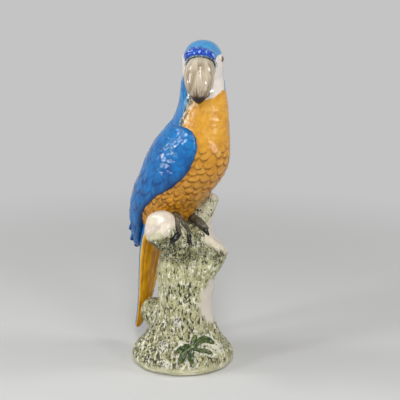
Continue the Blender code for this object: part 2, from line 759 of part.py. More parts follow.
def make_leaf(stump):
    """The lobes of the leaf, laid on the skin of the stump."""
    tree = BVHTree.FromObject(stump, bpy.context.evaluated_depsgraph_get())

    def on_skin(turn, height):
        way = Vector((math.sin(math.radians(turn)), -math.cos(math.radians(turn)), 0))
        spot, outward = tree.ray_cast((way * OUTSIDE + Vector((0, 0, height))) * MM, -way)[:2]
        return np.array(spot) / MM, np.array(outward)

    lobes = []
    for spine, half_width in LEAF_LOBES:
        spots = [on_skin(*place) for place in (LEAF_MIDDLE, *spine)]
        last = len(spots) - 1
        stations = [
            (spot, half_width * max(0, 1 - (k / last) ** 3) * (1 if k else LOBE_ROOT), LEAF_THICK)
            for k, (spot, outward) in enumerate(spots)
        ]
        stations = [(stations[0][0], 0, 0), *stations[:-1], (stations[-1][0], 0, 0)]
        across = np.cross(spots[-1][0] - spots[0][0], spots[last // 2][1])
        lobes.append(limb("lobe", stations, across / np.linalg.norm(across), MESHES["lobe"]))
    return lobes


def make_hollow():
    """The room inside: the stump and the bird a wall's thickness in, with a passage between."""

    def in_stump(share, turn):
        height, across, depth, half_width, half_depth = smooth(TRUNK, share).T
        height = np.clip(height, WALL, PERCH_HEIGHT - STUMP_ROOM_END)
        x = across + np.maximum(half_width - INSET, 0) * np.cos(turn)
        y = depth + np.maximum(half_depth - INSET, 0) * np.sin(turn)
        return np.stack([x, y, height], -1)

    def in_bird(share, turn):
        row = smooth(BODY, share)
        row[:, 0] = np.clip(row[:, 0], WALL, HEAD_LIFT - BIRD_ROOM_END)
        return slice_point(row, turn, -np.minimum(INSET, np.maximum(row[:, 3], 0)))

    stations = [(np.array((x, y, PERCH_HEIGHT + z), float), r, r) for x, y, z, r in PASSAGE]
    stations = [(stations[0][0], 0, 0), *stations, (stations[-1][0], 0, 0)]
    rooms = [
        shaped_ball("stump_room", *MESHES["room"], in_stump),
        shaped_ball("bird_room", *MESHES["room"], in_bird),
        limb("passage", stations, (1, 0, 0), MESHES["passage"]),
    ]
    return one_skin("hollow", rooms, HOLLOW_STEP, HOLLOW_TRIANGLES)


def one_skin(name, things, step, triangles):
    """Joins overlapping closed skins into one and thins it to about so many triangles."""
    joined = join(name, things)
    skin = joined.modifiers.new("one_skin", "REMESH")
    skin.mode = "VOXEL"
    skin.voxel_size = step * MM
    joined = applied(joined)
    thin = joined.modifiers.new("fewer_triangles", "DECIMATE")
    thin.ratio = triangles / (2 * len(joined.data.polygons))
    return applied(joined)


def cut(thing, name, cutter):
    """Takes a cutter's shape out of an object."""
    cutter.hide_render = True
    cutter.display_type = "WIRE"
    cutting = thing.modifiers.new(name, "BOOLEAN")
    cutting.operation = "DIFFERENCE"
    cutting.solver = "EXACT"
    cutting.object = cutter


def make_ground():
    """A slab up to the surface that the figurine stands on."""
    mesh = bmesh.new()
    bmesh.ops.create_cube(mesh, size=1)
    bmesh.ops.scale(mesh, vec=GROUND, verts=mesh.verts)
    bmesh.ops.translate(mesh, vec=(0, 0, -GROUND[2] / 2), verts=mesh.verts)
    return keep("ground", mesh)


def make_vent():
    """The round hole in the foot."""
    mesh = bmesh.new()
    radius = VENT_RADIUS * MM
    size = {"radius1": radius, "radius2": radius, "depth": 4 * WALL * MM}
    bmesh.ops.create_cone(mesh, cap_ends=True, segments=32, **size)
    return keep("vent", mesh)


def glaze(figurine, places):
    """Gives each face of the figurine the glaze of the skin that it came from."""
    tree = KDTree(sum(len(spots) for name, spots in places))
    names = []
    for name, spots in places:
        for spot in spots:
            tree.insert(spot, len(names))
            names.append(name)
    tree.balance()
    order = list(GLAZES)
    for name, (colour, roughness) in GLAZES.items():
        material = bpy.data.materials.new(name)
        material.use_nodes = True
        shader = material.node_tree.nodes["Principled BSDF"]
        shader.inputs["Base Color"].default_value = (*colour, 1)
        shader.inputs["Roughness"].default_value = roughness
        figurine.data.materials.append(material)
    for face in figurine.data.polygons:
        face.material_index = order.index(names[tree.find(face.center)[1]])


def main():
    for thing in list(bpy.data.objects):
        bpy.data.objects.remove(thing)
    stump = make_stump()
    groups = [
        {"ochre_glaze": [make_body(), make_tail()], "blue_glaze": [make_mantle(), *make_quills()]},
        make_head(),
        make_feet(),
        {"leaf_glaze": make_leaf(stump), "bark_glaze": [stump]},
    ]
    skins = [(name, thing) for group in groups for name, things in group.items() for thing in things]
    places = [(name, [vertex.co.copy() for vertex in thing.data.vertices]) for name, thing in skins]
    figurine = one_skin("parrot_figurine", [thing for name, thing in skins], SKIN_STEP, TRIANGLES)
    glaze(figurine, places)
    cut(figurine, "hollow", make_hollow())
    cut(figurine, "flat_foot", make_ground())
    cut(figurine, "vent", make_vent())
    for thing in bpy.data.objects:
        thing.location = Vector((-OFF_MIDDLE[0], -OFF_MIDDLE[1], 0)) * MM


main()
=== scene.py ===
import itertools
import math

import bmesh
import bpy
import numpy as np
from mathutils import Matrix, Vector
from mathutils.bvhtree import BVHTree
from mathutils.kdtree import KDTree


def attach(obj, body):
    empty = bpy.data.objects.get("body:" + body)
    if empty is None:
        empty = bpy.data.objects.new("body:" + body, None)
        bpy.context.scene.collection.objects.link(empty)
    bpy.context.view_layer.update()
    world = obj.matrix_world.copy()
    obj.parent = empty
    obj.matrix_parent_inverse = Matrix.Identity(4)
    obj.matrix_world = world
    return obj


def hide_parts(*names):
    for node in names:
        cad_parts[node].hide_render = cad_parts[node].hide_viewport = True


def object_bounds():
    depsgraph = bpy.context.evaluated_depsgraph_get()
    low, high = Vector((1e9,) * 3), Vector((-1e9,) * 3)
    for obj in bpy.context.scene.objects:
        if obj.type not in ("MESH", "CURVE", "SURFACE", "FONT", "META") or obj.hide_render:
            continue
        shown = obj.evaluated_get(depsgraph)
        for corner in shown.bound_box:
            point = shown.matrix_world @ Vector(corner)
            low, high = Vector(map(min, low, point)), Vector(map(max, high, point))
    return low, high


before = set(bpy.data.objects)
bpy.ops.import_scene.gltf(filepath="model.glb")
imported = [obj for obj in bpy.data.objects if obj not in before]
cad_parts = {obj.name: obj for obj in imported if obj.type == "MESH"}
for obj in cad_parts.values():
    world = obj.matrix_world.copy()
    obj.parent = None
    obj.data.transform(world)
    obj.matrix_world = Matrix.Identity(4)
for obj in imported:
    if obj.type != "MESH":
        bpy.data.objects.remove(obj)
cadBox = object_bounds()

# Everything is modelled in millimetres round the middle of the stump's foot, and moved into the frame at the end.
mm = 0.001
offMiddle = np.array([-1.91, -1.1, 0.0])
inset = 0.00003  # metres that each piece stays inside the part's box
perch = 168.0
# where the bird stands and the way it faces, then the middle of its head from there and the way that faces
bird = {"stand": (2.0, 2.0, perch), "heading": 50.0, "neck": (29.0, 0.0, 184.0), "headHeading": -7.0}


# Places

def outFrom(base, heading, forward, left, up):
    turn = math.radians(heading)
    x = base[0] + forward * math.sin(turn) + left * math.cos(turn)
    y = base[1] - forward * math.cos(turn) + left * math.sin(turn)
    return np.stack(np.broadcast_arrays(x, y, base[2] + up), -1)


def seenFrom(base, heading, spots):
    # how far forward, left and up of the base each point is
    turn = math.radians(heading)
    x, y = spots[:, 0] - base[0], spots[:, 1] - base[1]
    return x * math.sin(turn) - y * math.cos(turn), x * math.cos(turn) + y * math.sin(turn), spots[:, 2] - base[2]


def birdSpot(forward, left, up):
    return outFrom(bird["stand"], bird["heading"], forward, left, up)


def headSpot(forward, left, up):
    return outFrom(birdSpot(*bird["neck"]), bird["headHeading"], forward, left, up)


def inBird(spots):
    return seenFrom(bird["stand"], bird["heading"], spots)


def inHead(spots):
    return seenFrom(birdSpot(*bird["neck"]), bird["headHeading"], spots)


def along(table, share):
    # the row at a share of the way down a table, on a smooth curve through its rows
    table = np.asarray(table, float)
    last = len(table) - 1
    place = np.clip(share, 0, 1) * last
    step = np.minimum(place.astype(int), last - 1)
    t = (place - step)[:, None]
    a, b, c, d = (table[np.clip(step + k, 0, last)] for k in (-1, 0, 1, 2))
    return 0.5 * (2 * b + (c - a) * t + (2 * a - 5 * b + 4 * c - d) * t**2 + (3 * b - a - 3 * c + d) * t**3)


def atHeight(table, height, column):
    fine = along(table, np.linspace(0, 1, 400))[::-1]
    return np.interp(height, np.maximum.accumulate(fine[:, 0]), fine[:, column])


def fade(value, low, high):
    t = np.clip((value - low) / (high - low), 0, 1)
    return t * t * (3 - 2 * t)


def outlineDistance(x, y, outline):
    # distance from points to a closed outline, positive inside it
    inside, nearest = np.zeros(len(x), bool), np.full(len(x), 1e9)
    for (ax, ay), (bx, by) in zip(outline, outline[1:] + outline[:1]):
        dx, dy = bx - ax, by - ay
        t = np.clip(((x - ax) * dx + (y - ay) * dy) / (dx * dx + dy * dy), 0, 1)
        nearest = np.minimum(nearest, np.hypot(ax + t * dx - x, ay + t * dy - y))
        if dy:
            inside ^= ((ay > y) != (by > y)) & (x < ax + (y - ay) / dy * dx)
    return np.where(inside, nearest, -nearest)


# Unevenness of hand-worked clay

def chance(*cells, seed=0):
    # a fixed number from 0 to 1 for each cell
    word = np.uint64(0xFFFFFFFF)
    total = np.full(np.shape(cells[0]), (seed * 2654435761 + 97) % 2**32, np.uint64)
    for cell, factor in zip(cells, (374761393, 668265263, 3266489917)):
        total = (total + np.asarray(cell).astype(np.int64).astype(np.uint64) * np.uint64(factor)) & word
        total = ((total ^ (total >> np.uint64(13))) * np.uint64(1274126177)) & word
        total ^= total >> np.uint64(16)
    return total.astype(float) / 2**32


def cloud(spots, size, seed=0):
    # soft noise from about -1 to 1, with lumps of about the size given
    spots = spots / np.asarray(size, float)
    cell = np.floor(spots)
    part = spots - cell
    ease = part * part * part * (part * (part * 6 - 15) + 10)
    total = np.zeros(len(spots))
    for corner in itertools.product((0, 1), repeat=3):
        lattice = cell + corner
        slope = np.stack([chance(*lattice.T, seed=seed + k) * 2 - 1 for k in range(3)], -1)
        weight = np.prod(np.where(corner, ease, 1 - ease), axis=1)
        total += weight * np.sum(slope * (part - corner), axis=1)
    return total * 1.7


# Skins

def keep(name, mesh):
    data = bpy.data.meshes.new(name)
    mesh.to_mesh(data)
    mesh.free()
    thing = bpy.data.objects.new(name, data)
    bpy.context.scene.collection.objects.link(thing)
    return thing


def applied(thing):
    graph = bpy.context.evaluated_depsgraph_get()
    data = bpy.data.meshes.new_from_object(thing.evaluated_get(graph))
    name = thing.name
    bpy.data.objects.remove(thing)
    solid = bpy.data.objects.new(name, data)
    bpy.context.scene.collection.objects.link(solid)
    return solid


def spotsOf(thing):
    spots = np.empty(len(thing.data.vertices) * 3, np.float32)
    thing.data.vertices.foreach_get("co", spots)
    return spots.reshape(-1, 3).astype(float)


def putSpots(thing, spots):
    thing.data.vertices.foreach_set("co", spots.astype(np.float32).ravel())
    thing.data.update()


def outwardOf(thing):
    outward = np.empty(len(thing.data.vertices) * 3, np.float32)
    thing.data.vertex_normals.foreach_get("vector", outward)
    return outward.reshape(-1, 3).astype(float)


def press(thing, lift):
    # moves the skin out by so many millimetres at each point
    putSpots(thing, spotsOf(thing) + outwardOf(thing) * lift[:, None])


def soften(thing, factor, rounds):
    smoothing = thing.modifiers.new("soften", "SMOOTH")
    smoothing.factor = factor
    smoothing.iterations = rounds
    return applied(thing)


def finer(thing, levels, kind="CATMULL_CLARK"):
    dividing = thing.modifiers.new("finer", "SUBSURF")
    dividing.subdivision_type = kind
    dividing.levels = dividing.render_levels = levels
    return applied(thing)


def ball(name, columns, rows, place):
    # a ball of fine faces, each point put by its share from top to bottom and its turn
    mesh = bmesh.new()
    bmesh.ops.create_uvsphere(mesh, u_segments=columns // 4, v_segments=rows // 4, radius=1)
    thing = finer(keep(name, mesh), 2, "SIMPLE")
    spots = spotsOf(thing)
    share = np.arccos(np.clip(spots[:, 2] / np.linalg.norm(spots, axis=1), -1, 1)) / math.pi
    putSpots(thing, place(share, np.arctan2(spots[:, 1], spots[:, 0])))
    return outwards(thing)


def outwards(thing):
    mesh = bmesh.new()
    mesh.from_mesh(thing.data)
    bmesh.ops.recalc_face_normals(mesh, faces=mesh.faces)
    mesh.to_mesh(thing.data)
    mesh.free()
    return thing


def oneSkin(name, things, step, factor, rounds, levels):
    # joins overlapping closed skins into one, rounds its inner corners, and makes it finer
    mesh = bmesh.new()
    for thing in things:
        mesh.from_mesh(thing.data)
        bpy.data.objects.remove(thing)
    joined = keep(name, mesh)
    skin = joined.modifiers.new("oneSkin", "REMESH")
    skin.mode = "VOXEL"
    skin.voxel_size = step
    joined = soften(applied(joined), factor, rounds)
    return finer(joined, levels)


def limb(name, stations, across, columns, rows, relief=None):
    # a skin round a smooth path; each station has a point, a half width along across, and a half thickness
    table = np.array([[*point, wide, thick] for point, wide, thick in stations], float)
    across = np.asarray(across, float)

    def place(share, turn):
        row = along(table, share)
        way = along(table, share + 0.02)[:, :3] - along(table, share - 0.02)[:, :3]
        way /= np.linalg.norm(way, axis=1)[:, None]
        thickWay = np.cross(way, across)
        thickWay /= np.linalg.norm(thickWay, axis=1)[:, None]
        wideWay = np.cross(thickWay, way)
        wide, thick = np.maximum(row[:, 3], 0), np.maximum(row[:, 4], 0)
        lift = relief(share, turn) * np.minimum(1, thick / 2) if relief else 0
        return (row[:, :3] + wideWay * ((wide + lift) * np.cos(turn))[:, None]
                + thickWay * ((thick + lift) * np.sin(turn))[:, None])

    return ball(name, columns, rows, place)


def mark(thing, **marks):
    # keeps numbers on the points of a skin, for its glaze
    for name, values in marks.items():
        layer = thing.data.attributes.new(name, "FLOAT", "POINT")
        layer.data.foreach_set("value", np.broadcast_to(values, len(thing.data.vertices)).astype(np.float32))


def finish(thing, material):
    # moves a piece from millimetres round the stump into the frame, inside the part's box, and hands it over
    low, high = (np.array(corner, float) for corner in cadBox)
    putSpots(thing, np.clip((spotsOf(thing) - offMiddle) * mm, low + (inset, inset, 0), high - inset))
    thing.data.shade_smooth()
    thing.data.materials.clear()
    thing.data.materials.append(material)
    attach(thing, "root")
    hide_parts("parrot_figurine")
    print("made", thing.name, len(thing.data.polygons), "faces")
    return thing


# Feathers that lie like roof tiles

def tiles(across, down, count, jitter, seed):
    # for the feather on top: height, shadow under the tips over it, a number of its own, and place across it
    height, crease, own, sideways = (np.zeros(len(down)) for k in range(4))
    topRoot = np.full(len(down), 1e9)
    for back in (2, 1, 0):
        row = np.floor(down) - back
        for side in (-1, 0, 1):
            stagger = 0.5 * np.mod(row, 2)
            column = np.round(across - stagger) + side
            wrapped = np.mod(column, count)
            middle = column + stagger + (chance(wrapped, row, seed=seed) - 0.5) * jitter
            root = row + (chance(wrapped, row, seed=seed + 1) - 0.5) * jitter
            halfWidth = 0.62 + 0.1 * (chance(wrapped, row, seed=seed + 2) - 0.5) * jitter * 4
            aside = (across - middle) / halfWidth
            inside = np.abs(aside) < 1
            reach = 0.6 + 1.05 * np.sqrt(np.clip(1 - aside**2, 0, 1))
            past = down - root
            covers = inside & (past >= 0) & (past < reach) & (root < topRoot)
            rise = np.clip(past / reach, 0, 1)
            edge = np.clip((reach - past) / 0.3, 0, 1)
            shape = (0.1 + 0.9 * rise**1.2) * (0.3 + 0.7 * np.sqrt(edge)) * (0.6 + 0.4 * (1 - aside**2))
            height = np.where(covers, shape, height)
            own = np.where(covers, chance(wrapped, row, seed=seed + 3), own)
            sideways = np.where(covers, aside, sideways)
            topRoot = np.where(covers, root, topRoot)
            beyond = past - reach
            casts = inside & (beyond >= 0) & (topRoot > root)
            crease = np.maximum(crease, np.where(casts, np.exp(-beyond / 0.26) * (1 - aside**4), 0))
    return height, crease, own, sideways


# Shader maths

class Wire:
    # a number or colour on its way through a glaze's nodes
    def __init__(self, glaze, socket):
        self.glaze, self.socket = glaze, socket

    def sums(self, operation, *values):
        return self.glaze.node("ShaderNodeMath", {"operation": operation}, dict(enumerate(values)))

    def __add__(self, other):
        return self.sums("ADD", self, other)

    def __sub__(self, other):
        return self.sums("SUBTRACT", self, other)

    def __rsub__(self, other):
        return self.sums("SUBTRACT", other, self)

    def __mul__(self, other):
        return self.sums("MULTIPLY", self, other)

    def __abs__(self):
        return self.sums("ABSOLUTE", self)

    def least(self, other):
        return self.sums("MINIMUM", self, other)

    def most(self, other):
        return self.sums("MAXIMUM", self, other)

    __radd__, __rmul__ = __add__, __mul__


class Glaze:
    def __init__(self, name, made=None):
        self.material = made or bpy.data.materials.new(name)
        self.material.use_nodes = True
        self.tree = self.material.node_tree
        self.tree.nodes.clear()

    def node(self, kind, settings, sockets, out=0):
        made = self.tree.nodes.new(kind)
        for name, value in settings.items():
            setattr(made, name, value)
        for name, value in sockets.items():
            socket = made.inputs[name]
            if isinstance(value, Wire):
                self.tree.links.new(value.socket, socket)
            else:
                socket.default_value = (*value, 1) if socket.type == "RGBA" else value
        return Wire(self, made.outputs[out]) if made.outputs else made

    def read(self, name):
        return self.node("ShaderNodeAttribute", {"attribute_name": name}, {}, 2)

    def where(self):
        return self.node("ShaderNodeTexCoord", {}, {}, 3)

    def stretched(self, up, turn=(0.0, 0.0, 0.0), across=(1.0, 1.0)):
        # places for a pattern that is drawn out upwards
        return self.node("ShaderNodeMapping", {}, {"Vector": self.where(), "Scale": (*across, up), "Rotation": turn})

    def step(self, value, low, high):
        settings = {"interpolation_type": "SMOOTHSTEP"}
        return self.node("ShaderNodeMapRange", settings, {0: value, 1: low, 2: high, 3: 0.0, 4: 1.0})

    def noise(self, size, detail=3.0, spots=None, rough=0.5, distortion=0.0):
        # a noise with lumps of the size given in millimetres
        sockets = {"Vector": spots or self.where(), "Scale": 1 / (size * mm), "Detail": detail,
                   "Roughness": rough, "Distortion": distortion}
        return self.node("ShaderNodeTexNoise", {}, sockets)

    def blend(self, share, low, high):
        return self.node("ShaderNodeMix", {"data_type": "RGBA"}, {0: share, 6: low, 7: high}, 2)

    def coats(self, colour, layers):
        # paints one over the other: what each follows, where it starts and is full, its share, its colour
        for value, low, high, share, paint in layers:
            colour = self.blend(self.step(value, low, high) * share, colour, paint)
        return colour

    def bump(self, height, depth, strength=1.0):
        return self.node("ShaderNodeBump", {}, {"Strength": strength, "Distance": depth * mm, "Height": height})

    def seen(self):
        # 1 where the camera, or a reflection in a glaze, looks straight at the surface
        camera, glossy, clear = (self.node("ShaderNodeLightPath", {}, {}, out) for out in (0, 3, 6))
        return camera.most(glossy).most(clear)

    def fire(self, colour, roughness, normal=None, specular=0.4):
        sockets = {"Base Color": colour, "Roughness": roughness, "Specular IOR Level": specular, "IOR": 1.5}
        if normal:
            sockets["Normal"] = normal
        shader = self.node("ShaderNodeBsdfPrincipled", {}, sockets)
        self.node("ShaderNodeOutputMaterial", {}, {"Surface": shader})
        return self.material


# Body and head

body = {
    "slices": (
        (182, 29, 0, 0), (181, 29, 14, 13), (172, 29, 23, 22), (158, 29, 26, 24), (142, 29.4, 28, 25),
        (122, 24.8, 34, 27.5), (102, 16.5, 43, 32), (82, 9, 50, 34), (65, 1, 51, 35), (51, -8, 49, 35),
        (37, -17, 46, 34), (23, -24, 39, 31), (10, -28, 34, 27.5), (0, -31, 28, 24), (-10, -36, 20, 17),
        (-17, -40, 11, 10), (-20, -41, 0, 0),
    ),
    "skull": (27.0, 22.5, 28.5), "skullBoxy": 2.3,
    "brow": ((20, 0, 14), (11, 17, 7)),
    "feathersRound": 28, "featherRow": 8.4, "featherLift": 1.7,
    "jitter": 0.42, "bandLift": 1.5, "dents": 0.45,
    "skinStep": 1.75,
    # height over the perch against the turn of the border between yellow and blue, right side and left side
    "borderRight": ((100, 96), (118, 92), (125, 101), (134, 97), (145, 92), (152, 90), (160, 94), (170, 97)),
    "borderLeft": ((100, 96), (118, 95), (130, 88), (140, 80), (150, 66), (160, 50), (170, 47)),
    "yellowBack": 128,  # how far round the yellow goes, in degrees each way
    # turn against the height over the perch where yellow ends under the white of the face
    "yellowTop": ((-120, 150), (-88, 150.5), (-55, 149.5), (-43, 151), (-36, 151.5), (-23, 153), (-10, 156.5),
                  (3, 159.5), (50, 160), (120, 160)),
    # where the blue cap ends over the white face: left place against height over the head's middle
    "capEnd": ((-23, 9.6), (-18.1, 10.2), (-15, 7), (0, 3), (12, 5.5), (14.5, 8.6), (17.9, 12.6), (20.2, 13.8),
               (23, 13)),
    "faceBackLeft": ((-30, 9), (-20, 6), (-8, 2), (0, -3), (5, -6), (14, -2)),
    "faceBackRight": ((-30, 22), (-16, 17), (-8, 11), (4, 6), (9, 5), (14, 8)),
    # the cobalt band over the beak, seen from the front of the head
    "band": ((-17.4, 6.5), (-13.1, 10.2), (-8.1, 13.0), (-1.6, 13.8), (5.8, 12.0), (10.4, 9.3), (14.3, 5.0),
             (16.4, 9.5), (16.3, 14.1), (12.6, 18.2), (6.7, 20.8), (0.2, 22.2), (-6.4, 22.3), (-12.1, 20.6),
             (-16.2, 17.8), (-19.4, 13.5)),
}


def sliceBall(table, columns, rows):
    def place(share, turn):
        row = along(table, share)
        depth, width = np.maximum(row[:, 2], 0), np.maximum(row[:, 3], 0)
        return birdSpot(row[:, 1] + depth * np.cos(turn), width * np.sin(turn), row[:, 0])

    return ball("slices", columns, rows, place)


def lump(name, middle, halves, boxy=2.0):
    # a ball or a boxy ball placed from the middle of the head
    def place(share, turn):
        level = np.sin(math.pi * share)
        unit = np.stack([level * np.cos(turn), level * np.sin(turn), np.cos(math.pi * share)])
        size = np.sum(np.abs(unit) ** boxy, axis=0) ** (1 / boxy)
        return headSpot(*(m + h * u / size for m, h, u in zip(middle, halves, unit)))

    return ball(name, 64, 64, place)


def turnAndHeight(spots):
    forward, left, up = inBird(spots)
    return np.arctan2(left, forward - atHeight(body["slices"], up, 1)), up


def readOff(table, value):
    keys, values = zip(*table)
    return np.interp(value, keys, values)


def makeBody(beakSpots):
    skull = lump("skull", (0, 0, 0), body["skull"], body["skullBoxy"])
    brow = lump("brow", *body["brow"])
    things = [sliceBall(body["slices"], 128, 128), skull, brow]
    thing = oneSkin("birdBody", things, body["skinStep"], 0.5, 4, 1)
    spots = spotsOf(thing)
    turn, up = turnAndHeight(spots)
    forward, left, over = inHead(spots)
    band = outlineDistance(left, over, list(body["band"]))
    band = np.where(forward > 4, band, -20)
    feathered = fade(up, -14, 4) * (1 - 0.62 * fade(up, 88, 104)) * (1 - fade(up, 140, 154))
    across = turn / math.tau * body["feathersRound"] + cloud(spots, 22, 5) * 0.25
    down = (200 - up) / body["featherRow"] + cloud(spots, 22, 6) * 0.25
    height, crease, own, aside = tiles(across, down, body["feathersRound"], body["jitter"], 11)
    lift = body["featherLift"] * (height - 0.3) * feathered + 0.7 * fade(up, -14, 10) * (1 - fade(up, 145, 160))
    lift += body["bandLift"] * fade(band, 0.2, 3.0) * (1 + 0.18 * cloud(spots, 5, 9))
    lift += body["dents"] * cloud(spots, 9, 3) * (1 - fade(up, 165, 175)) + 0.16 * cloud(spots, 4, 4)
    press(thing, lift)

    width = atHeight(body["slices"], up, 3)
    degrees = np.degrees(turn)
    borderRight, borderLeft = readOff(body["borderRight"], up), readOff(body["borderLeft"], up)
    beside = np.where(turn < 0, borderRight + degrees, borderLeft - degrees) * np.maximum(width, 20) * math.pi / 180
    below = readOff(body["yellowTop"], degrees) - up
    yellow = np.minimum(below, np.where(up > 100, beside, 20))
    yellow = np.minimum(yellow, (body["yellowBack"] - np.abs(degrees)) * 0.4)
    faceBack = np.where(left > 0, readOff(body["faceBackLeft"], over), readOff(body["faceBackRight"], over))
    face = np.minimum(readOff(body["capEnd"], left) - over, forward - faceBack)
    tree = KDTree(len(beakSpots))
    for k, spot in enumerate(beakSpots):
        tree.insert(spot, k)
    tree.balance()
    nearHead = up > 140
    toBeak = np.full(len(spots), 50.0)
    toBeak[nearHead] = [tree.find(spot)[2] for spot in spotsOf(thing)[nearHead]]
    mark(thing, yellow=yellow, face=face, band=band, toBeak=toBeak, own=own * feathered, ridge=height * feathered,
         aside=aside, feathered=feathered, overHead=over, overPerch=up, beside=np.where(turn < 0, beside, 40),
         crease=crease * feathered * (0.25 + 0.75 * fade(up, 4, 34)))
    return finish(thing, bodyGlaze())


def bodyGlaze():
    g = Glaze("birdGlaze")
    wobble = g.noise(5, 2.0) - 0.5
    fine = g.noise(1.6)
    broad = g.noise(22, 2.0)
    up = g.read("overPerch")
    crease, ridge = g.read("crease"), g.read("ridge")
    low = g.step(up, 80.0, 15.0)
    ochre = g.blend(g.step(broad, 0.35, 0.68), (0.72, 0.355, 0.036), (0.59, 0.265, 0.018))
    ochre = g.coats(ochre, (
        (g.noise(5.5), 0.5, 0.66, 0.45, (0.5, 0.2, 0.014)),
        (up, 112.0, 70.0, 0.75, (0.51, 0.205, 0.016)),
    ))
    ochre = g.blend(low * 0.8, ochre, (0.54, 0.215, 0.006))
    ochre = g.coats(ochre, (
        (g.noise(7.0), 0.48, 0.62, low * 0.9, (0.16, 0.056, 0.002)),
        (g.noise(6.0), 0.52, 0.64, low * 0.6, (0.74, 0.34, 0.02)),
        (g.read("own"), 0.2, 1.0, 0.22, (0.7, 0.38, 0.06)),
        (ridge, 0.45, 0.95, 0.34 - low * 0.18, (0.76, 0.42, 0.075)),
        (g.noise(3.0), 0.52, 0.7, 0.4, (0.82, 0.46, 0.075)),
        # painted shadow under the feather tips above
        (crease + (fine - 0.5) * 0.3, 0.15, 0.85, 0.9, (0.13, 0.045, 0.002)),
    ))
    stroke = g.noise(3.4, 2.0, g.stretched(0.4, (0.25, 0.2, 0.0)))
    blue = g.blend(g.step(stroke, 0.36, 0.64), (0.012, 0.14, 0.38), (0.04, 0.25, 0.54))
    blue = g.coats(blue, (
        (up, 168.0, 182.0, 0.5, (0.075, 0.33, 0.62)),
        (up, 150.0, 118.0, 0.5, (0.012, 0.13, 0.4)),
    ))
    white = g.blend(broad, (0.74, 0.69, 0.63), (0.68, 0.62, 0.57))
    face = g.step(g.read("face") + wobble * 1.5, -0.7, 0.5)
    colour = g.blend(face, blue, white)
    cobaltWithHighlights = g.blend(g.step(g.noise(2.6, 2.0), 0.42, 0.6), (0.002, 0.022, 0.34), (0.018, 0.105, 0.52))
    # pale blue flecks on the band: painted highlights
    cobaltWithHighlights = g.coats(cobaltWithHighlights, (
        (g.noise(4.4, 2.0), 0.58, 0.64, 0.7, (0.34, 0.56, 0.86)),
    ))
    colour = g.blend(g.step(g.read("band") + wobble * 1.4, -0.2, 0.5), colour, cobaltWithHighlights)
    yellow = g.read("yellow") + wobble * 2.4
    colour = g.blend(g.step(yellow, -0.7, 0.7), colour, ochre)
    # flecks where the yellow of the neck meets the blue
    neck = g.step(up, 113.0, 119.0) * g.step(up, 160.0, 154.0)
    beside = g.read("beside")
    belt = neck * g.step(beside, -4.0, 0.0) * g.step(beside, 16.0, 6.0)
    pale = g.noise(2.6, 2.0, g.stretched(0.7, (0.3, 0.9, 0.2)), 0.4)
    colour = g.blend(g.step(pale + belt * 0.08, 0.57, 0.66) * belt * 0.75, colour, (0.78, 0.66, 0.5))
    strokes = g.noise(3.0, 2.0, g.stretched(0.5, (0.9, 0.1, 0.4), (1.1, 1.0)), 0.4)
    nearEdge = neck * g.step(beside, -5.0, -1.0) * g.step(beside, 8.0, 3.0) * g.step(up, 116.0, 123.0)
    colour = g.blend(nearEdge * g.step(strokes + nearEdge * 0.08, 0.55, 0.62) * 0.9, colour, (0.018, 0.06, 0.022))
    specks = g.noise(1.7, 1.0)
    colour = g.blend(nearEdge * g.step(specks, 0.62, 0.66), colour, (0.004, 0.01, 0.012))
    toBeak, over = g.read("toBeak"), g.read("overHead")
    top = g.step(over, -1.0, 4.0)
    halo = g.step(toBeak + wobble * 1.6, 3.2, 2.2) * top
    teal = g.blend(g.step(specks, 0.45, 0.6), (0.1, 0.15, 0.16), (0.34, 0.4, 0.4))
    colour = g.blend(halo * 0.85, colour, teal)
    # a dark line round the base of the beak, painted on the figure along the top; lower down it is weaker and stands
    # for the beak's painted shadow
    line = g.step(toBeak + wobble * 1.2, 1.3, 0.7) * (0.45 + top * 0.55)
    colour = g.blend(line, colour, (0.008, 0.012, 0.014))
    feathered = g.read("feathered")
    ribs = g.node("ShaderNodeMath", {"operation": "SINE"}, {0: g.read("aside") * 17.0}) * feathered
    lumps = g.noise(4.0, 1.0) * g.step(g.read("band"), -1.0, 1.0) * 1.1
    grain = g.noise(1.3, 2.0) * 0.3 + g.noise(4.0, 2.0)
    height = grain * (0.25 + feathered * 0.75) + g.noise(8.0, 1.0) * 1.9 + ribs * 0.3 + lumps
    return g.fire(colour, 0.06 + crease * 0.1, g.bump(height, 0.4, 0.8))


# Beak

beak = {
    "upper": (
        (8, 0, 0, 0), (10, 0, 14, 15), (24, -1, 15.4, 14.5), (32, -6, 16.2, 13.5), (36.5, -13.5, 15.6, 11.5),
        (38, -21.5, 12.8, 9), (37.2, -28.5, 8.8, 6.4), (35.4, -34, 4.4, 3.6), (34, -37, 0, 0),
    ),
    "ripple": 0.02, "dents": 0.12,
    "lower": ((6, -22, 0, 0), (8, -22, 11, 9), (19, -26, 11.5, 8), (27, -27, 9, 6), (31, -25, 5, 3), (32, -24, 0, 0)),
}


def headStations(table):
    return [(headSpot(forward, 0.0, up), wide, thick) for forward, up, wide, thick in table]


def makeBeak():
    leftWay = headSpot(0.0, 1.0, 0.0) - headSpot(0.0, 0.0, 0.0)
    things = []
    for name, table, size in (("upperBeak", beak["upper"], (128, 160)), ("lowerBeak", beak["lower"], (64, 64))):
        things.append(limb(name, headStations(table), leftWay, *size))
    return things


def finishBeak(things):
    material = beakGlaze()
    for thing in things:
        spots = spotsOf(thing)
        forward, left, over = inHead(spots)
        front = np.arctan2(left, forward - 8) * 18
        ripple = np.sin(front * 1.9 + cloud(spots, 12, 21) * 2)
        press(thing, beak["ripple"] * ripple + beak["dents"] * cloud(spots, 9, 22))
        mark(thing, round=front, over=over)
        finish(thing, material)


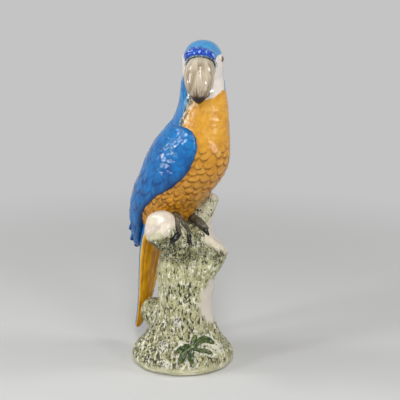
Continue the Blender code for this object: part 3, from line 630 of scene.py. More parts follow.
def beakGlaze():
    g = Glaze("beakGlaze")
    across, over = g.read("round"), g.read("over")
    plane = g.node("ShaderNodeCombineXYZ", {}, {0: across, 1: over * 0.1, 2: 0.0})
    streak = g.node("ShaderNodeTexNoise", {}, {"Vector": plane, "Scale": 0.33, "Detail": 3.0, "Roughness": 0.55})
    thin = g.node("ShaderNodeTexNoise", {}, {"Vector": plane, "Scale": 0.95, "Detail": 2.0, "Roughness": 0.5})
    colour = g.blend(g.step(streak, 0.36, 0.64), (0.26, 0.2, 0.125), (0.54, 0.455, 0.34))
    colour = g.coats(colour, (
        (thin, 0.45, 0.68, 0.4, (0.66, 0.58, 0.46)),
        # darker over the beak's left side, turned away from the main lamps: painted shade
        (across, 4.0, 16.0, 0.3, (0.36, 0.27, 0.15)),
    ))
    rim = g.step(over + (streak - 0.5) * 4, 4.0, 9.0)
    colour = g.blend(rim * 0.5, colour, (0.58, 0.52, 0.4))
    tip = g.step(over + (thin - 0.5) * 38, -16.0, -31.0)
    colour = g.blend(tip * 0.85, colour, (0.12, 0.066, 0.026))
    colour = g.blend(g.step(over + (streak - 0.5) * 12, -25.5, -30.0), colour, (0.016, 0.006, 0.002))
    normal = g.bump(g.noise(3.0, 2.0), 0.12, 0.25)
    return g.fire(colour, 0.05, normal)


# Eyes

eyes = {"place": (6.0, 20.6, 8.5), "radius": 3.2, "bulge": 3.0, "lid": 5.2, "lidBulge": 3.5, "hidden": 2.4}


def makeEyes():
    forward, left, over = eyes["place"]
    pupil, lid = eyeGlaze(), lidGlaze()
    for side, name in ((1, "left"), (-1, "right")):
        halves = (eyes["lid"], eyes["lidBulge"], eyes["lid"])
        finish(lump(name + "Eyelid", (forward, side * (left - 2.0), over), halves), lid)
        halves = (eyes["radius"], eyes["bulge"], eyes["radius"] * 1.1)
        back = eyes["hidden"] if side < 0 else 0.0
        thing = lump(name + "Eye", (forward + 0.3 - back, side * (left - 0.2 - back * 0.3), over), halves)
        ahead, beside, up = inHead(spotsOf(thing))
        mark(thing, fromMiddle=np.hypot(ahead - forward - 0.3 + back, up - over))
        finish(thing, pupil)


def eyeGlaze():
    g = Glaze("eyeGlaze")
    ring = g.read("fromMiddle") + (g.noise(1.2, 2.0) - 0.5) * 0.4
    colour = g.blend(g.step(ring, 1.3, 1.7), (0.006, 0.005, 0.004), (0.22, 0.12, 0.012))
    colour = g.blend(g.step(ring, 2.5, 2.9), colour, (0.05, 0.035, 0.008))
    return g.fire(colour, 0.05)


def lidGlaze():
    g = Glaze("lidGlaze")
    colour = g.blend(g.noise(4, 2.0), (0.78, 0.72, 0.62), (0.68, 0.62, 0.53))
    return g.fire(colour, 0.1, g.bump(g.noise(1.0, 2.0), 0.1, 0.3))


# Folded wings and back

wings = {
    "slices": (
        (132, 27, 0, 0), (131, 27, 22, 18), (127, 26, 31, 26.5), (121, 24.5, 36, 31), (112, 21, 41.5, 34.5),
        (102, 16, 47, 37.2), (82, 8, 53, 39.5), (65, 1, 54, 40.5), (51, -9, 52.5, 39.5), (37, -19, 50, 37.5),
        (23, -30, 44, 34), (10, -40, 37, 30), (-3, -49, 29, 25), (-18, -58, 20, 19), (-32, -66, 11, 12),
        (-39, -69, 5, 6), (-41, -70, 0, 0),
    ),
    # outline seen from the side: forward place, height over the perch
    "edge": (
        (-60, 150), (4, 150), (9, 122.5), (20, 122), (31, 121), (39.5, 116.5), (45, 108), (46.5, 98.5), (43.5, 86),
        (37, 72), (28, 61.5), (14, 50), (-8, 37), (-28, 22), (-38, 11), (-45, -3), (-52, -20), (-60, -36),
        (-72, -46), (-130, -46), (-130, 150),
    ),
    "roll": 5.0, "sink": 9.0, "gap": 15, "over": 1.3, "groove": 0.9,
    "outside": 0.82,  # share of the columns that lie on the outside
    "smallRound": 26, "smallRow": 9.5, "largeRound": 18, "largeRow": 20.0, "smallEnd": 62.0,
    "smallLift": 1.3, "largeLift": 1.7,
}


def makeWings():
    state = {}
    edge = wings["edge"][2:19][::-1]
    heights, reaches = [z for f, z in edge], [f for f, z in edge]

    def place(share, turn):
        row = along(wings["slices"], share)
        up, forward = row[:, 0], row[:, 1]
        depth, width = np.maximum(row[:, 2], 0), np.maximum(row[:, 3], 0)
        reach = np.interp(up, heights, reaches)
        edgeTurn = np.arccos(np.clip((reach - forward) / np.maximum(depth, 1e-6), -0.97, 0.93))
        # columns run from the back of the bird round to the wing's edge, and close inside the body
        fromBack = (math.pi - np.abs(turn)) / math.pi
        outer = 1 - (1 - np.clip(fromBack / wings["outside"], 0, 1)) ** 1.3
        inner = np.clip((fromBack - wings["outside"]) / (1 - wings["outside"]), 0, 1)
        angle = np.sign(turn) * (math.pi - (math.pi - edgeTurn) * outer) * (1 - inner)
        onEdge = forward + depth * np.cos(angle)
        inward = outlineDistance(onEdge, up, list(wings["edge"]))
        roll = np.clip(inward / wings["roll"], 0, 1)
        rounded = np.sqrt(np.clip(1 - (1 - roll) ** 2, 0, 1))
        down = wings["slices"][0][0] - up
        spots = birdSpot(onEdge, width * np.sin(angle), up)
        wander, drift = cloud(spots, 26, 31) * 0.3, cloud(spots, 26, 32) * 0.3
        small = tiles(angle / math.tau * wings["smallRound"] + wander, down / wings["smallRow"] + drift,
                      wings["smallRound"], 0.5, 33)
        large = tiles(angle / math.tau * wings["largeRound"] + wander, (down - wings["smallEnd"]) / wings["largeRow"]
                      + 40 + drift * 0.5, wings["largeRound"], 0.3, 41)
        isLarge = fade(down + cloud(spots, 14, 35) * 5, wings["smallEnd"] - 2, wings["smallEnd"] + 2)
        lift = wings["smallLift"] * (small[0] - 0.4) * (1 - isLarge)
        lift = (lift + wings["largeLift"] * (large[0] - 0.4) * isLarge) * rounded * fade(up, -40, -30)
        lift += 0.5 * cloud(spots, 10, 36) * rounded + 0.3 * cloud(spots, 5, 37) * rounded
        # the two wings meet in a groove down the back, and part towards the neck
        beside = np.abs(width * np.sin(angle)) - wings["gap"] * fade(up, 40, 112)
        behind = np.cos(angle) < -0.2
        lift += np.where(behind, wings["over"] * fade(beside, -1.2, 1.5) - wings["over"], 0)
        groove = np.where(behind, np.exp(-((beside + 0.5) / 1.6) ** 2), 0)
        lift -= wings["groove"] * groove + wings["sink"] * (1 - rounded)
        lift = np.maximum(lift, -0.9 * np.minimum(depth, width))
        state.update(crease=small[1] * (1 - isLarge) * 0.7 + large[1] * isLarge, groove=groove, inward=inward, up=up,
                     ridge=small[0] * (1 - isLarge) + large[0] * isLarge)
        return birdSpot(forward + (depth + lift) * np.cos(angle), (width + lift) * np.sin(angle), up)

    thing = ball("foldedWings", 272, 320, place)
    mark(thing, **state)
    return finish(soften(thing, 0.5, 1), wingGlaze())


def wingGlaze():
    g = Glaze("wingGlaze")
    crease, ridge, up = g.read("crease"), g.read("ridge"), g.read("up")
    stroke = g.noise(9.0, 3.0, g.stretched(0.4, (0.0, 0.5, 0.9)))
    fine = g.noise(2.2)
    blue = g.blend(g.step(stroke, 0.36, 0.64), (0.001, 0.072, 0.28), (0.005, 0.15, 0.43))
    blue = g.coats(blue, (
        (up, 70.0, 120.0, 0.5, (0.012, 0.23, 0.58)),
        (fine, 0.52, 0.72, 0.3, (0.012, 0.2, 0.52)),
        (ridge, 0.55, 1.0, 0.3, (0.01, 0.19, 0.48)),
        (g.noise(13.0, 2.0), 0.56, 0.7, 0.35, (0.006, 0.15, 0.26)),
    ))
    # darker towards the wing's edge, from glaze pooled along it and painted shade where the lower edge rolls under
    inward = g.read("inward") + (stroke - 0.5) * 6.0
    blue = g.coats(blue, (
        (inward, 5.0, 0.0, 0.7, (0.001, 0.045, 0.17)),
        (inward, 11.0, 1.0, g.step(up, 98.0, 72.0) * 0.7, (0.001, 0.035, 0.13)),
    ))
    # painted shadow under the feather tips above
    dark = g.step(crease + (fine - 0.5) * 0.4 + (stroke - 0.5) * 0.4, 0.2, 0.75)
    blue = g.blend(dark * 0.85, blue, (0.001, 0.045, 0.18))
    blue = g.blend(g.read("groove") * 0.8, blue, (0.003, 0.03, 0.14))
    height = g.noise(1.4, 2.0) * 0.3 + g.noise(4.5, 2.0)
    return g.fire(blue, 0.08 + crease * 0.08, g.bump(height, 0.36, 0.7))


# Long wing feathers

quills = {
    # root and tip as forward, left and height over the perch, then half width
    "blades": (
        ((-44, 22, 22), (-60, 16, -17), 6.5), ((-50, 16, 18), (-73, 13, -17), 6.5),
        ((-55, 10, 8), (-75.5, 9, -32), 6), ((-58, 4, 0), (-74, 3.5, -41), 5.5),
    ),
    "shape": ((0, 0, 0), (0.03, 1, 1), (0.5, 1, 1), (0.8, 0.95, 0.9), (0.95, 0.7, 0.7), (1, 0, 0)),
    "thick": 3.2, "shaft": 0.5,
}


def makeQuills():
    material = quillGlaze()
    for side, sideName in ((1, "left"), (-1, "right")):
        flatWay = birdSpot(0.0, side, 0.0) - birdSpot(0.0, 0.0, 0.0)
        for k, (root, tip, halfWidth) in enumerate(quills["blades"]):
            start, end = (birdSpot(float(f), side * float(l), float(z)) for f, l, z in (root, tip))
            stations = [(start + (end - start) * share, halfWidth * wide, quills["thick"] * thick)
                        for share, wide, thick in quills["shape"]]

            def relief(share, turn):
                shaft = np.exp(-((np.cos(turn) * halfWidth / 0.9) ** 2))
                return quills["shaft"] * (shaft - 0.5)

            thing = limb(f"{sideName}Quill{k + 1}", stations, flatWay, 64, 128, relief)
            long = np.linalg.norm(end - start)
            mark(thing, down=(spotsOf(thing) - start) @ ((end - start) / long) / long)
            finish(thing, material)


def quillGlaze():
    g = Glaze("quillGlaze")
    down = g.read("down")
    stroke = g.noise(6.0, 3.0, g.stretched(0.3))
    blue = g.blend(g.step(stroke, 0.35, 0.65), (0.003, 0.08, 0.27), (0.014, 0.15, 0.4))
    blue = g.blend(g.step(down + (g.noise(3.0) - 0.5) * 0.25, 0.86, 0.97), blue, (0.006, 0.02, 0.11))
    return g.fire(blue, 0.1, g.bump(g.noise(1.4, 2.0), 0.12, 0.4))


# Tail

tail = {
    "stations": (
        (-24, 28, 0, 0), (-26, 26, 15, 12), (-40, -2, 20.5, 12), (-48, -24, 20.5, 8.5), (-53, -45, 19.2, 6.5),
        (-57.5, -73, 16.6, 5.5), (-62, -98, 13.4, 5), (-68, -122, 9.8, 4.2), (-74.5, -140, 6.2, 3.4),
        (-77, -146.5, 3, 2), (-77.5, -148, 0, 0),
    ),
    "feathers": 5, "groove": 0.9,
}


def makeTail():
    leftWay = birdSpot(0.0, 1.0, 0.0) - birdSpot(0.0, 0.0, 0.0)
    stations = [(birdSpot(float(f), 0.0, float(z)), wide, thick) for f, z, wide, thick in tail["stations"]]
    state = {}

    def relief(share, turn):
        line = np.abs(np.sin(tail["feathers"] * np.arccos(np.cos(turn)) / 2))
        groove = np.exp(-((line / 0.16) ** 2)) * fade(share, 0.12, 0.3)
        state.update(groove=groove, back=-np.sin(turn), outer=-np.cos(turn))
        return -tail["groove"] * groove

    thing = limb("longTail", stations, leftWay, 160, 256, relief)
    mark(thing, **state)
    return finish(thing, tailGlaze())


def tailGlaze():
    g = Glaze("tailGlaze")
    groove, back = g.read("groove"), g.read("back")
    streak = g.noise(5.0, 3.0, g.stretched(0.16))
    ochre = g.blend(g.step(streak, 0.38, 0.64), (0.64, 0.28, 0.005), (0.9, 0.45, 0.012))
    ochre = g.blend(groove * 0.4, ochre, (0.34, 0.13, 0.004))
    blue = g.blend(g.step(streak, 0.35, 0.65), (0.008, 0.09, 0.32), (0.03, 0.18, 0.48))
    blue = g.blend(groove * 0.8, blue, (0.005, 0.03, 0.15))
    edge = back + (g.noise(6.0, 2.0) - 0.5) * 0.12
    pale = g.blend(g.step(edge, -0.3, -0.16) * g.step(g.read("outer"), 0.2, 0.6), ochre, (0.8, 0.56, 0.1))
    colour = g.blend(g.step(edge, -0.12, -0.04), pale, blue)
    return g.fire(colour, 0.11 + groove * 0.1, g.bump(g.noise(1.5, 2.0), 0.12, 0.35))


# Feet

feet = {
    "rings": 0.12,
    "toes": (
        ((-7, -22, 18, 4.2), (-6, -34, 16, 3.9), (-4.5, -41, 11, 3.4), (-2.5, -42, 3, 2.9), (-3, -42, 0, 2)),
        ((-5, -18, 16, 4), (-1, -27, 12, 3.6), (4, -27, 5.5, 3.2), (7.5, -26.5, 0, 2.9), (8, -29, -4, 2)),
        ((8, 6, 11, 3.8), (14, -2, 8, 3.8), (20, -7, 3.5, 3.4), (25.5, -9.5, -1.5, 2.8), (27, -10.5, -3, 2)),
        ((12, 6, 11, 3), (17, 0, 8, 3), (23, -4, 4, 2.8), (29, -8, -2, 2.3), (30, -8.5, -3, 1.6)),
    ),
    "claws": (
        ((-2.5, -42.5, 1.5, 3.2), (-7, -47, -3, 3.5), (-11.5, -49.5, -5.5, 1.4)),
        ((8, -29, -3.5, 2.8), (8.5, -30.5, -9.5, 3.1), (9, -31, -14, 1.3)),
        ((26, -10, -2, 2.6), (28.5, -12, -5.5, 2.6), (31, -13, -8.5, 1.1)),
    ),
}


def spike(name, points, columns, rows, relief=None):
    spots = [(np.array([x, y, perch + z], float), r, r) for x, y, z, r in points]
    end = 2 * spots[-1][0] - (spots[-2][0] * 0.3 + spots[-1][0] * 0.7)
    stations = [(spots[0][0], 0, 0), *spots, (end, 0, 0)]
    return limb(name, stations, birdSpot(0.0, 1.0, 0.0) - birdSpot(0.0, 0.0, 0.0), columns, rows, relief)


def makeFeet():
    state = {}

    def rings(share, turn):
        state["ring"] = 0.5 + 0.5 * np.sin(share * 40 + 2 * np.sin(turn))
        return feet["rings"] * state["ring"]

    grey, black = toeGlaze(), clawGlaze()
    for k, points in enumerate(feet["toes"]):
        thing = spike(f"toe{k + 1}", points, 48, 128, rings)
        mark(thing, **state)
        finish(thing, grey)
    for k, points in enumerate(feet["claws"]):
        finish(spike(f"claw{k + 1}", points, 32, 64), black)


def toeGlaze():
    g = Glaze("toeGlaze")
    colour = g.blend(g.read("ring") * 0.5, (0.055, 0.042, 0.026), (0.12, 0.095, 0.06))
    colour = g.coats(colour, (
        (g.noise(4.0), 0.5, 0.7, 0.6, (0.3, 0.26, 0.2)),
        (g.noise(3.0), 0.44, 0.3, 0.6, (0.03, 0.024, 0.014)),
    ))
    return g.fire(colour, 0.14, g.bump(g.noise(1.0), 0.1, 0.4))


def clawGlaze():
    g = Glaze("clawGlaze")
    return g.fire(g.blend(g.noise(3.0), (0.003, 0.003, 0.002), (0.012, 0.011, 0.008)), 0.07)


# Stump

stump = {
    # height, middle across, middle in depth, half width, half depth
    "slices": (
        (0, 0, 0, 0, 0), (0, 0, 0, 20, 17), (0, 0, 0, 54, 47), (0.6, 0, 0, 57, 49.5), (4, 0, 0, 59.5, 52),
        (9.5, 0, 0, 61.8, 54), (16, 0, 0, 59, 51.5), (24, 0, 0, 53.3, 47), (32, 0, 0, 47, 42), (40, 1, 0, 41.5, 38),
        (48, 2, 0, 37.5, 35), (58, 3, 0, 34, 32.5), (73, 3.6, 0, 32.2, 31), (94, 4.5, 0, 33, 31),
        (112, 5, 0, 34, 31), (126, 6.5, 0, 34, 30), (140, 9, 0, 31, 29), (152, 9.5, 0, 29, 27),
        (161, 10, 0, 24, 22), (167, 10, 0, 14, 13), (169, 10, 0, 0, 0),
    ),
    # across, depth, height over the ground, radius; then how the end rounds off, as shares of its radius
    "stubs": {
        "front": (((12, 4, 126, 23), (-8, -17, 156, 21.5), (-24, -34.8, 175, 20.5)), (0.2, 0.94, 0.36, 0.74, 0.46)),
        "back": (((10, 4, 134, 20), (20, 12, 170, 15.5), (37, 16, 198, 8)), (0.16, 0.95, 0.26, 0.7, 0.3)),
        "side": (((0, -2, 112, 28), (24, -2, 126, 24), (40.5, -1, 145, 17)), (0.16, 0.95, 0.26, 0.7, 0.3)),
        "tail": (((-4, 4, 44, 22), (-26, 22, 48, 19), (-40, 35, 51.5, 16)), (0.16, 0.97, 0.26, 0.8, 0.3)),
    },
    "skinStep": 1.9, "rounds": 24,
    # the bare patch on the trunk: turn and height of its middle, then half of each across it
    "patch": (68, 80, 36, 27),
    "edgeLift": 1.6, "bossLift": 2.0, "foldDepth": 1.7, "lipLift": 1.6, "inkDepth": 0.8,
    # a raised edge down the trunk beside the tail, and round bosses on it with their radius
    "buttress": ((-29, 16, 80), (-31, 7, 64), (-36, -1, 49), (-39.5, -13, 38), (-47, -20, 27)),
    "bosses": (((-20.6, -38, 32), 8.0), ((43, -25, 25), 8.0), ((-4.4, -31.7, 60), 7.0), ((-19, -50, 15), 7.0),
               ((-35.9, -24.8, 184), 8.0)),
    "fold": ((-40, -41, 165.5), (-32.3, -44.2, 172), (-25.5, -45.3, 176.9)),
    "lip": ((-35, -48, 164), (-24, -52, 168.5)),
}


def stubSkin(points, end):
    spots = [(np.array(point[:3], float), point[3]) for point in points]
    last, radius = spots[-1]
    way = (last - spots[-2][0]) / np.linalg.norm(last - spots[-2][0])
    stations = [(spots[0][0], 0, 0), *((p, r, r) for p, r in spots)]
    for reach, wide in ((end[0], end[1]), (end[2], end[3]), (end[4], 0)):
        stations.append((last + way * reach * radius, radius * wide, radius * wide))
    return limb("stub", stations, (0, 0, 1), 64, 96)


def stubAxis(spots, points):
    # how far each point is past the plane of a stub's end, and how far it is from the stub's axis
    end, before = (np.array(point[:3], float) for point in (points[-1], points[-2]))
    way = (end - before) / np.linalg.norm(end - before)
    past = (spots - end) @ way
    return past, np.linalg.norm(spots - end - past[:, None] * way, axis=1)


def pathDistance(spots, points):
    # distance from each point to a chain of straight lines
    nearest = np.full(len(spots), 1e9)
    for a, b in zip(points, points[1:]):
        a, b = np.array(a, float), np.array(b, float)
        t = np.clip((spots - a) @ (b - a) / ((b - a) @ (b - a)), 0, 1)
        nearest = np.minimum(nearest, np.linalg.norm(spots - a - t[:, None] * (b - a), axis=1))
    return nearest


def bell(distance, width):
    return np.exp(-((distance / width) ** 2))


def makeStump():
    def place(share, turn):
        row = along(stump["slices"], share)
        lump = 1 + 0.05 * cloud(np.stack([np.cos(turn) * 40, np.sin(turn) * 40, row[:, 0]], -1), 31, 51)
        return np.stack([row[:, 1] + np.maximum(row[:, 3], 0) * lump * np.cos(turn),
                         row[:, 2] + np.maximum(row[:, 4], 0) * lump * np.sin(turn), row[:, 0]], -1)

    skins = [ball("trunk", 128, 128, place)]
    skins += [stubSkin(*stub) for stub in stump["stubs"].values()]
    thing = oneSkin("treeStump", skins, stump["skinStep"], 0.5, stump["rounds"], 1)
    spots = spotsOf(thing)
    x, y, height = spots.T
    wander = cloud(spots, 10, 52)
    ends = []
    for name, deep, lean, slant, reach, soft in (
        ("front", 1.5, 0.62, -0.22, 30, 0.55), ("side", 1.0, 0.5, 0.1, 26, 0.6), ("back", 2.0, 0.3, 0.0, 16, 1.0),
    ):
        # the bare clay reaches further down the upper side of a stub
        past, aside = stubAxis(spots, stump["stubs"][name][0])
        rise, right = height - stump["stubs"][name][0][-1][2], x - stump["stubs"][name][0][-1][0]
        ends.append(np.where(aside < reach, (past + deep + rise * lean + right * slant + wander * 3) * soft, -30))
    buttress = pathDistance(spots, stump["buttress"])
    turn = np.degrees(np.arctan2(x - 3.6, -y))
    patchTurn, patchHeight, patchWide, patchTall = stump["patch"]
    patch = 20 * (1 - np.hypot((turn - patchTurn) / patchWide, (height - patchHeight) / patchTall))
    patch += wander * 5 + cloud(spots, (5, 5, 16), 64) * 3
    bare = np.maximum.reduce([*ends, patch])
    barked = 1 - fade(bare, -2.5, 2.5)
    plinth = fade(height, 5, 13)
    lift = stump["edgeLift"] * bell(buttress, 4.5)
    for middle, radius in stump["bosses"]:
        lift += stump["bossLift"] * bell(np.linalg.norm(spots - np.array(middle, float), axis=1), radius)
    lift += 0.9 * cloud(spots, (11, 11, 24), 60) * plinth * barked + 0.8 * cloud(spots, 17, 63)
    lift -= stump["foldDepth"] * bell(pathDistance(spots, stump["fold"]), 2.6)
    lift += stump["lipLift"] * bell(pathDistance(spots, stump["lip"]), 3.2)
    # short strokes that run up the trunk, and squiggles below the perch
    bent = spots + np.stack([cloud(spots, 6, k) for k in (53, 54, 55)], -1) * 2.2
    thick = cloud(spots, 15, 57) * 0.5 - 0.35 * fade(height, 95, 112) * (1 - fade(height, 128, 140))
    thick += 0.25 * (1 - fade(np.abs(turn + 20), 20, 60)) + 0.5 * (1 - fade(height, 30, 55)) * fade(-x, 5, 30)
    strokes = fade(cloud(bent, (2.5, 2.5, 6.5), 56) + thick * 0.22, 0.06, 0.34)
    squiggles = 1 - fade(np.abs(cloud(bent, (4.2, 4.2, 3.2), 58)), 0.02, 0.16)
    under = fade(height, 120, 136) * (1 - fade(height, 160, 172)) * fade(cloud(spots, 9, 59), -0.6, 0.1)
    groove = np.maximum(strokes * fade(thick, -0.5, -0.1), squiggles * under)
    lift -= stump["inkDepth"] * groove * barked * plinth
    lift += (0.42 * cloud(spots, (3, 3, 6), 61) + 0.25 * cloud(spots, 2.2, 62)) * barked * plinth
    press(thing, np.where(height < 0.3, 0, lift))
    spots = spotsOf(thing)
    spots[:, 2] = np.maximum(spots[:, 2], 0)
    putSpots(thing, spots)
    bossy = [bell(np.linalg.norm(spots - np.array(middle, float), axis=1), radius)
             for middle, radius in stump["bosses"]]
    mark(thing, bare=bare, up=height, dense=thick, under=under * fade(-y, -10, 10),
         groove=groove * barked * (0.3 + 0.7 * plinth), boss=np.maximum.reduce([np.zeros(len(spots)), *bossy]),
         fold=bell(pathDistance(spots, stump["fold"]), 3.6), lip=bell(pathDistance(spots, stump["lip"]), 5.5),
         edge=bell(pathDistance(spots, stump["buttress"]), 3.0))
    return thing


def barkGlaze():
    g = Glaze("barkGlaze")
    names = ("groove", "bare", "up", "under", "dense", "boss", "edge", "leafEdge")
    groove, bare, up, under, dense, boss, edge, leafEdge = (g.read(name) for name in names)
    broad, fine = g.noise(24.0), g.noise(2.4)
    # cream green ground with olive clouds, and pale painted highlights on the ridges
    ground = g.blend(g.step(broad, 0.36, 0.64), (0.4, 0.385, 0.19), (0.6, 0.58, 0.33))
    ridges = g.noise(3.0, 2.0, g.stretched(0.42), 0.5, 0.6)
    ground = g.blend(g.step(ridges, 0.55, 0.6) * 0.85, ground, (0.92, 0.9, 0.74))
    clouds = g.step(g.noise(5.0, 3.0, g.stretched(0.5)), 0.52, 0.62)
    ground = g.blend(clouds * 0.45, ground, (0.2, 0.205, 0.08))
    ground = g.coats(ground, (
        (g.noise(9.0), 0.5, 0.66, g.step(up, 95.0, 40.0) * 0.5, (0.2, 0.17, 0.055)),
        # darker olive blotches under the perch: painted shade
        (g.noise(6.0), 0.42, 0.6, under * 0.4, (0.15, 0.145, 0.065)),
    ))
    # pale over the round bosses as a painted highlight, and pale glaze along the raised edge and round the leaf
    pale = (boss + (fine - 0.5) * 0.5).most(edge * 0.75).most(leafEdge + (fine - 0.5) * 0.9)
    ground = g.coats(ground, (
        (pale, 0.22, 0.7, 0.7, (0.86, 0.83, 0.71)),
        (up, 166.0, 180.0, 0.6, (0.72, 0.7, 0.52)),
    ))
    # ink in short upright strokes, in hair lines, and in squiggles under the perch
    upright = g.noise(2.3, 1.0, g.stretched(0.4, (0.06, 0.04, 0.0)), 0.5, 0.7)
    strokes = g.step(upright - (ridges - 0.5) * 0.4 + dense * 0.15, 0.595, 0.625)
    hair = g.step(abs(g.noise(3.2, 2.0, g.stretched(0.5), 0.5, 1.0) - 0.5), 0.026, 0.01)
    curls = g.step(abs(g.noise(5.2, 1.0, None, 0.4, 1.8) - 0.5), 0.052, 0.03) * g.step(under, 0.25, 0.6)
    ink = (groove * 0.22 + strokes).most(hair * 0.45).most(curls).least(1.0) * g.step(bare, 1.5, -2.5)
    ink = ink * (1.0 - g.step(pale, 0.5, 0.9) * 0.25) * g.step(up, 6.0, 14.0)
    colour = g.blend(ink * 0.92, ground, (0.022, 0.02, 0.007))
    # bare clay on the sawn ends and down the right of the trunk
    white = g.blend(g.step(g.noise(10.0, 2.0), 0.4, 0.62), (0.7, 0.62, 0.5), (0.6, 0.51, 0.42))
    white = g.coats(white, (
        (up, 112.0, 100.0, g.step(up, 30.0, 50.0), (0.62, 0.56, 0.48)),
        (g.noise(14.0, 2.0), 0.54, 0.7, 0.4, (0.76, 0.7, 0.46)),
    ))
    # grey along the fold across the front stub's end: painted shade in the fold
    fold = g.read("fold") + (g.noise(5.0) - 0.5) * 1.2
    white = g.blend(g.step(fold, 0.1, 1.0) * 0.4, white, (0.36, 0.32, 0.27))
    lip = g.read("lip") + (g.noise(4.0) - 0.5) * 0.9
    white = g.blend(g.step(lip, 0.2, 0.6) * 0.8, white, (0.44, 0.43, 0.27))
    rough = g.noise(3.5, 3.0, g.stretched(0.45)) - 0.5
    colour = g.blend(g.step(bare + rough * 10.0, -4.0, 4.0), colour, white)
    bands = g.noise(9.0, 3.0, g.stretched(2.0, across=(0.5, 0.5)))
    rim = g.blend(g.step(bands, 0.42, 0.62), (0.5, 0.48, 0.29), (0.74, 0.72, 0.54))
    colour = g.blend(g.step(up + (broad - 0.5) * 8.0, 12.0, 6.0) * 0.9, colour, rim)
    height = ridges * 1.3 - ink * 0.6 + g.noise(1.5, 2.0) * 0.35
    bark = g.step(bare, 2.0, -2.0)
    return g.fire(colour, 0.1 + ink * 0.08, g.bump(height * (bark * 0.85 + 0.15), 1.3, 0.9))


# Leaf

leaf = {
    "middle": (16, 31.5), "thick": 2.9, "wider": 1.02, "veinDepth": 0.45,
    # turn from the front and height of each point of a lobe's spine, then its half width
    "lobes": (
        (((21, 38.5), (25, 45)), 3.2), (((28, 37), (39, 38.5), (49, 35.5), (55, 31)), 4.0),
        (((28, 28.5), (38, 26.5), (43, 23)), 2.6), (((14, 27), (12, 22), (15, 15.5)), 3.8),
        (((7, 28.5), (1, 23.5), (-1, 16)), 3.8), (((11, 32), (-1, 32.5), (-10, 26)), 2.6),
        (((11, 34), (2, 35.5)), 2.4),
    ),
}


def makeLeaf(stumpThing):
    tree = BVHTree.FromObject(stumpThing, bpy.context.evaluated_depsgraph_get())

    def onSkin(turn, height):
        way = Vector((math.sin(math.radians(turn)), -math.cos(math.radians(turn)), 0))
        spot, outward = tree.ray_cast(way * 200 + Vector((0, 0, height)), -way)[:2]
        return np.array(spot), np.array(outward)

    green = leafGlaze()
    clay = spotsOf(stumpThing)
    edge = np.zeros(len(clay))
    for k, (spine, halfWidth) in enumerate(leaf["lobes"]):
        spots = [onSkin(*place) for place in (leaf["middle"], *spine)]
        beyond = pathDistance(clay, [spot for spot, outward in spots[1:]]) - halfWidth - 1.2
        edge = np.maximum(edge, bell(beyond, 1.3))
        last = len(spots) - 1
        path = along(np.array([spot for spot, outward in spots]), np.array([0, 0.2, 0.45, 0.7, 0.9, 1.0]))
        shares = (0.55, 0.85, 1.0, 0.95, 0.6, 0)
        stations = [(spot, halfWidth * leaf["wider"] * wide, leaf["thick"] * min(1, wide * 2))
                    for spot, wide in zip(path, shares)]
        stations = [(stations[0][0], 0, 0), *stations]
        across = np.cross(spots[-1][0] - spots[0][0], spots[last // 2][1])
        state = {}

        def relief(share, turn):
            state["vein"] = bell(np.cos(turn), 0.16)
            return -leaf["veinDepth"] * state["vein"]

        thing = limb(f"leafLobe{k + 1}", stations, across / np.linalg.norm(across), 48, 96, relief)
        mark(thing, **state)
        finish(thing, green)
    mark(stumpThing, leafEdge=edge)


def leafGlaze():
    g = Glaze("leafGlaze")
    colour = g.blend(g.step(g.noise(4.0), 0.4, 0.6), (0.014, 0.04, 0.008), (0.1, 0.135, 0.022))
    vein = g.read("vein")
    colour = g.coats(colour, (
        (g.noise(2.2), 0.58, 0.68, g.step(vein, 0.5, 0.0), (0.42, 0.46, 0.3)),
    ))
    colour = g.blend(vein * 0.8, colour, (0.004, 0.014, 0.003))
    return g.fire(colour, 0.08, g.bump(g.noise(2.4, 2.0), 0.35, 0.8))


# Light, floor and camera

studio = {
    "floor": (0.66, 0.66, 0.65), "backdrop": 0.55, "sky": 0.22,
    # metres: half the floor's side, and the radius of its turn up into a backdrop
    "floorHalf": 14, "bend": 1.2,
    "glow": (0.25, 0.95),  # metres over which the floor's shadow gives way to the pale backdrop
    "target": (0.02291, 0.0011, 0.19754), "lens": 868.18 / 400 * 36, "elevation": 14.0, "distance": 1.0,
    # azimuth from the camera to the right, elevation, distance, width, height, radiance
    "lamps": {
        "leftWindow": (-64, 19, 1.35, 0.2, 0.74, 12.5),
        "leftLow": (-82, 4, 1.35, 0.2, 0.24, 22.0),
        "frontWindow": (2, 46, 1.35, 0.18, 1.2, 13.5),
        "rightWindow": (36, 6, 1.35, 0.22, 0.2, 34.0),
        "rightPane": (88, 42, 1.35, 0.3, 0.34, 12.0),
        "leftPane": (-96, 46, 1.35, 0.22, 0.28, 16.0),
    },
}


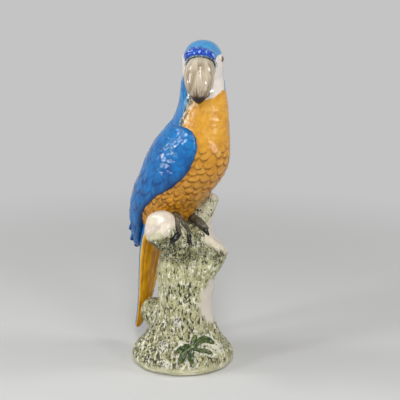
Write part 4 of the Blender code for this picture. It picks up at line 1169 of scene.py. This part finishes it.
def makeFloor():
    mesh = bmesh.new()
    bmesh.ops.create_grid(mesh, x_segments=8, y_segments=240, size=studio["floorHalf"])
    radius = studio["bend"]
    for vertex in mesh.verts:
        past = vertex.co.y - radius
        if past > 0:
            turn = min(past / radius, math.pi / 2)
            rise = max(past - radius * math.pi / 2, 0)
            vertex.co.y, vertex.co.z = radius * (1 + math.sin(turn)), radius * (1 - math.cos(turn)) + rise
    floor = keep("floor", mesh)
    floor.data.shade_smooth()
    g = Glaze("floorPaint")
    paint = {"Base Color": studio["floor"], "Roughness": 0.9, "Specular IOR Level": 0.1}
    matt = g.node("ShaderNodeBsdfPrincipled", {}, paint)
    glow = g.node("ShaderNodeEmission", {}, {"Color": (1.0, 1.0, 1.0), "Strength": studio["backdrop"]})
    # the camera and the glaze both see a pale backdrop, and the floor round the foot keeps its shadow
    away = g.node("ShaderNodeVectorMath", {"operation": "LENGTH"}, {0: g.where()}, 1)
    shader = g.node("ShaderNodeMixShader", {}, {0: g.seen() * g.step(away, *studio["glow"]), 1: matt, 2: glow})
    g.node("ShaderNodeOutputMaterial", {}, {"Surface": shader})
    floor.data.materials.append(g.material)
    print("laid the floor")


def makeLight():
    target = Vector(studio["target"])
    for name, (azimuth, elevation, distance, width, height, radiance) in studio["lamps"].items():
        side, rise = math.radians(azimuth), math.radians(elevation)
        way = Vector((math.sin(side) * math.cos(rise), -math.cos(side) * math.cos(rise), math.sin(rise)))
        lamp = bpy.data.lights.new(name, "AREA")
        lamp.shape, lamp.size, lamp.size_y = "RECTANGLE", width, height
        lamp.energy = radiance * math.pi * width * height
        thing = bpy.data.objects.new(name, lamp)
        thing.location = target + way * distance
        thing.rotation_euler = (-way).to_track_quat("-Z", "Y").to_euler()
        thing.visible_camera = False
        bpy.context.scene.collection.objects.link(thing)
    g = Glaze("softLight", bpy.data.worlds.new("softLight"))
    # past the floor's edge the sky looks as pale as the backdrop
    soft, pale = (g.node("ShaderNodeBackground", {}, {"Color": (1.0, 1.0, 1.0), "Strength": studio[name]})
                  for name in ("sky", "backdrop"))
    shader = g.node("ShaderNodeMixShader", {}, {0: g.seen(), 1: soft, 2: pale})
    g.node("ShaderNodeOutputWorld", {}, {"Surface": shader})
    bpy.context.scene.world = g.material
    print("hung", len(studio["lamps"]), "lamps")


def makeCamera():
    camera = bpy.data.cameras.new("camera")
    camera.sensor_width, camera.lens = 36, studio["lens"]
    thing = bpy.data.objects.new("camera", camera)
    tilt = math.radians(studio["elevation"])
    way = Vector((0, -math.cos(tilt), math.sin(tilt)))
    thing.location = Vector(studio["target"]) + way * studio["distance"]
    thing.rotation_euler = (math.radians(90) - tilt, 0, 0)
    bpy.context.scene.collection.objects.link(thing)
    bpy.context.scene.camera = thing
    bpy.context.scene.view_settings.view_transform = "Standard"
    print("set up the camera")


makeFloor()
makeLight()
makeCamera()
beakThings = makeBeak()
makeBody(spotsOf(beakThings[0]))
finishBeak(beakThings)
makeEyes()
makeWings()
makeQuills()
makeTail()
makeFeet()
stumpThing = makeStump()
makeLeaf(stumpThing)
finish(stumpThing, barkGlaze())
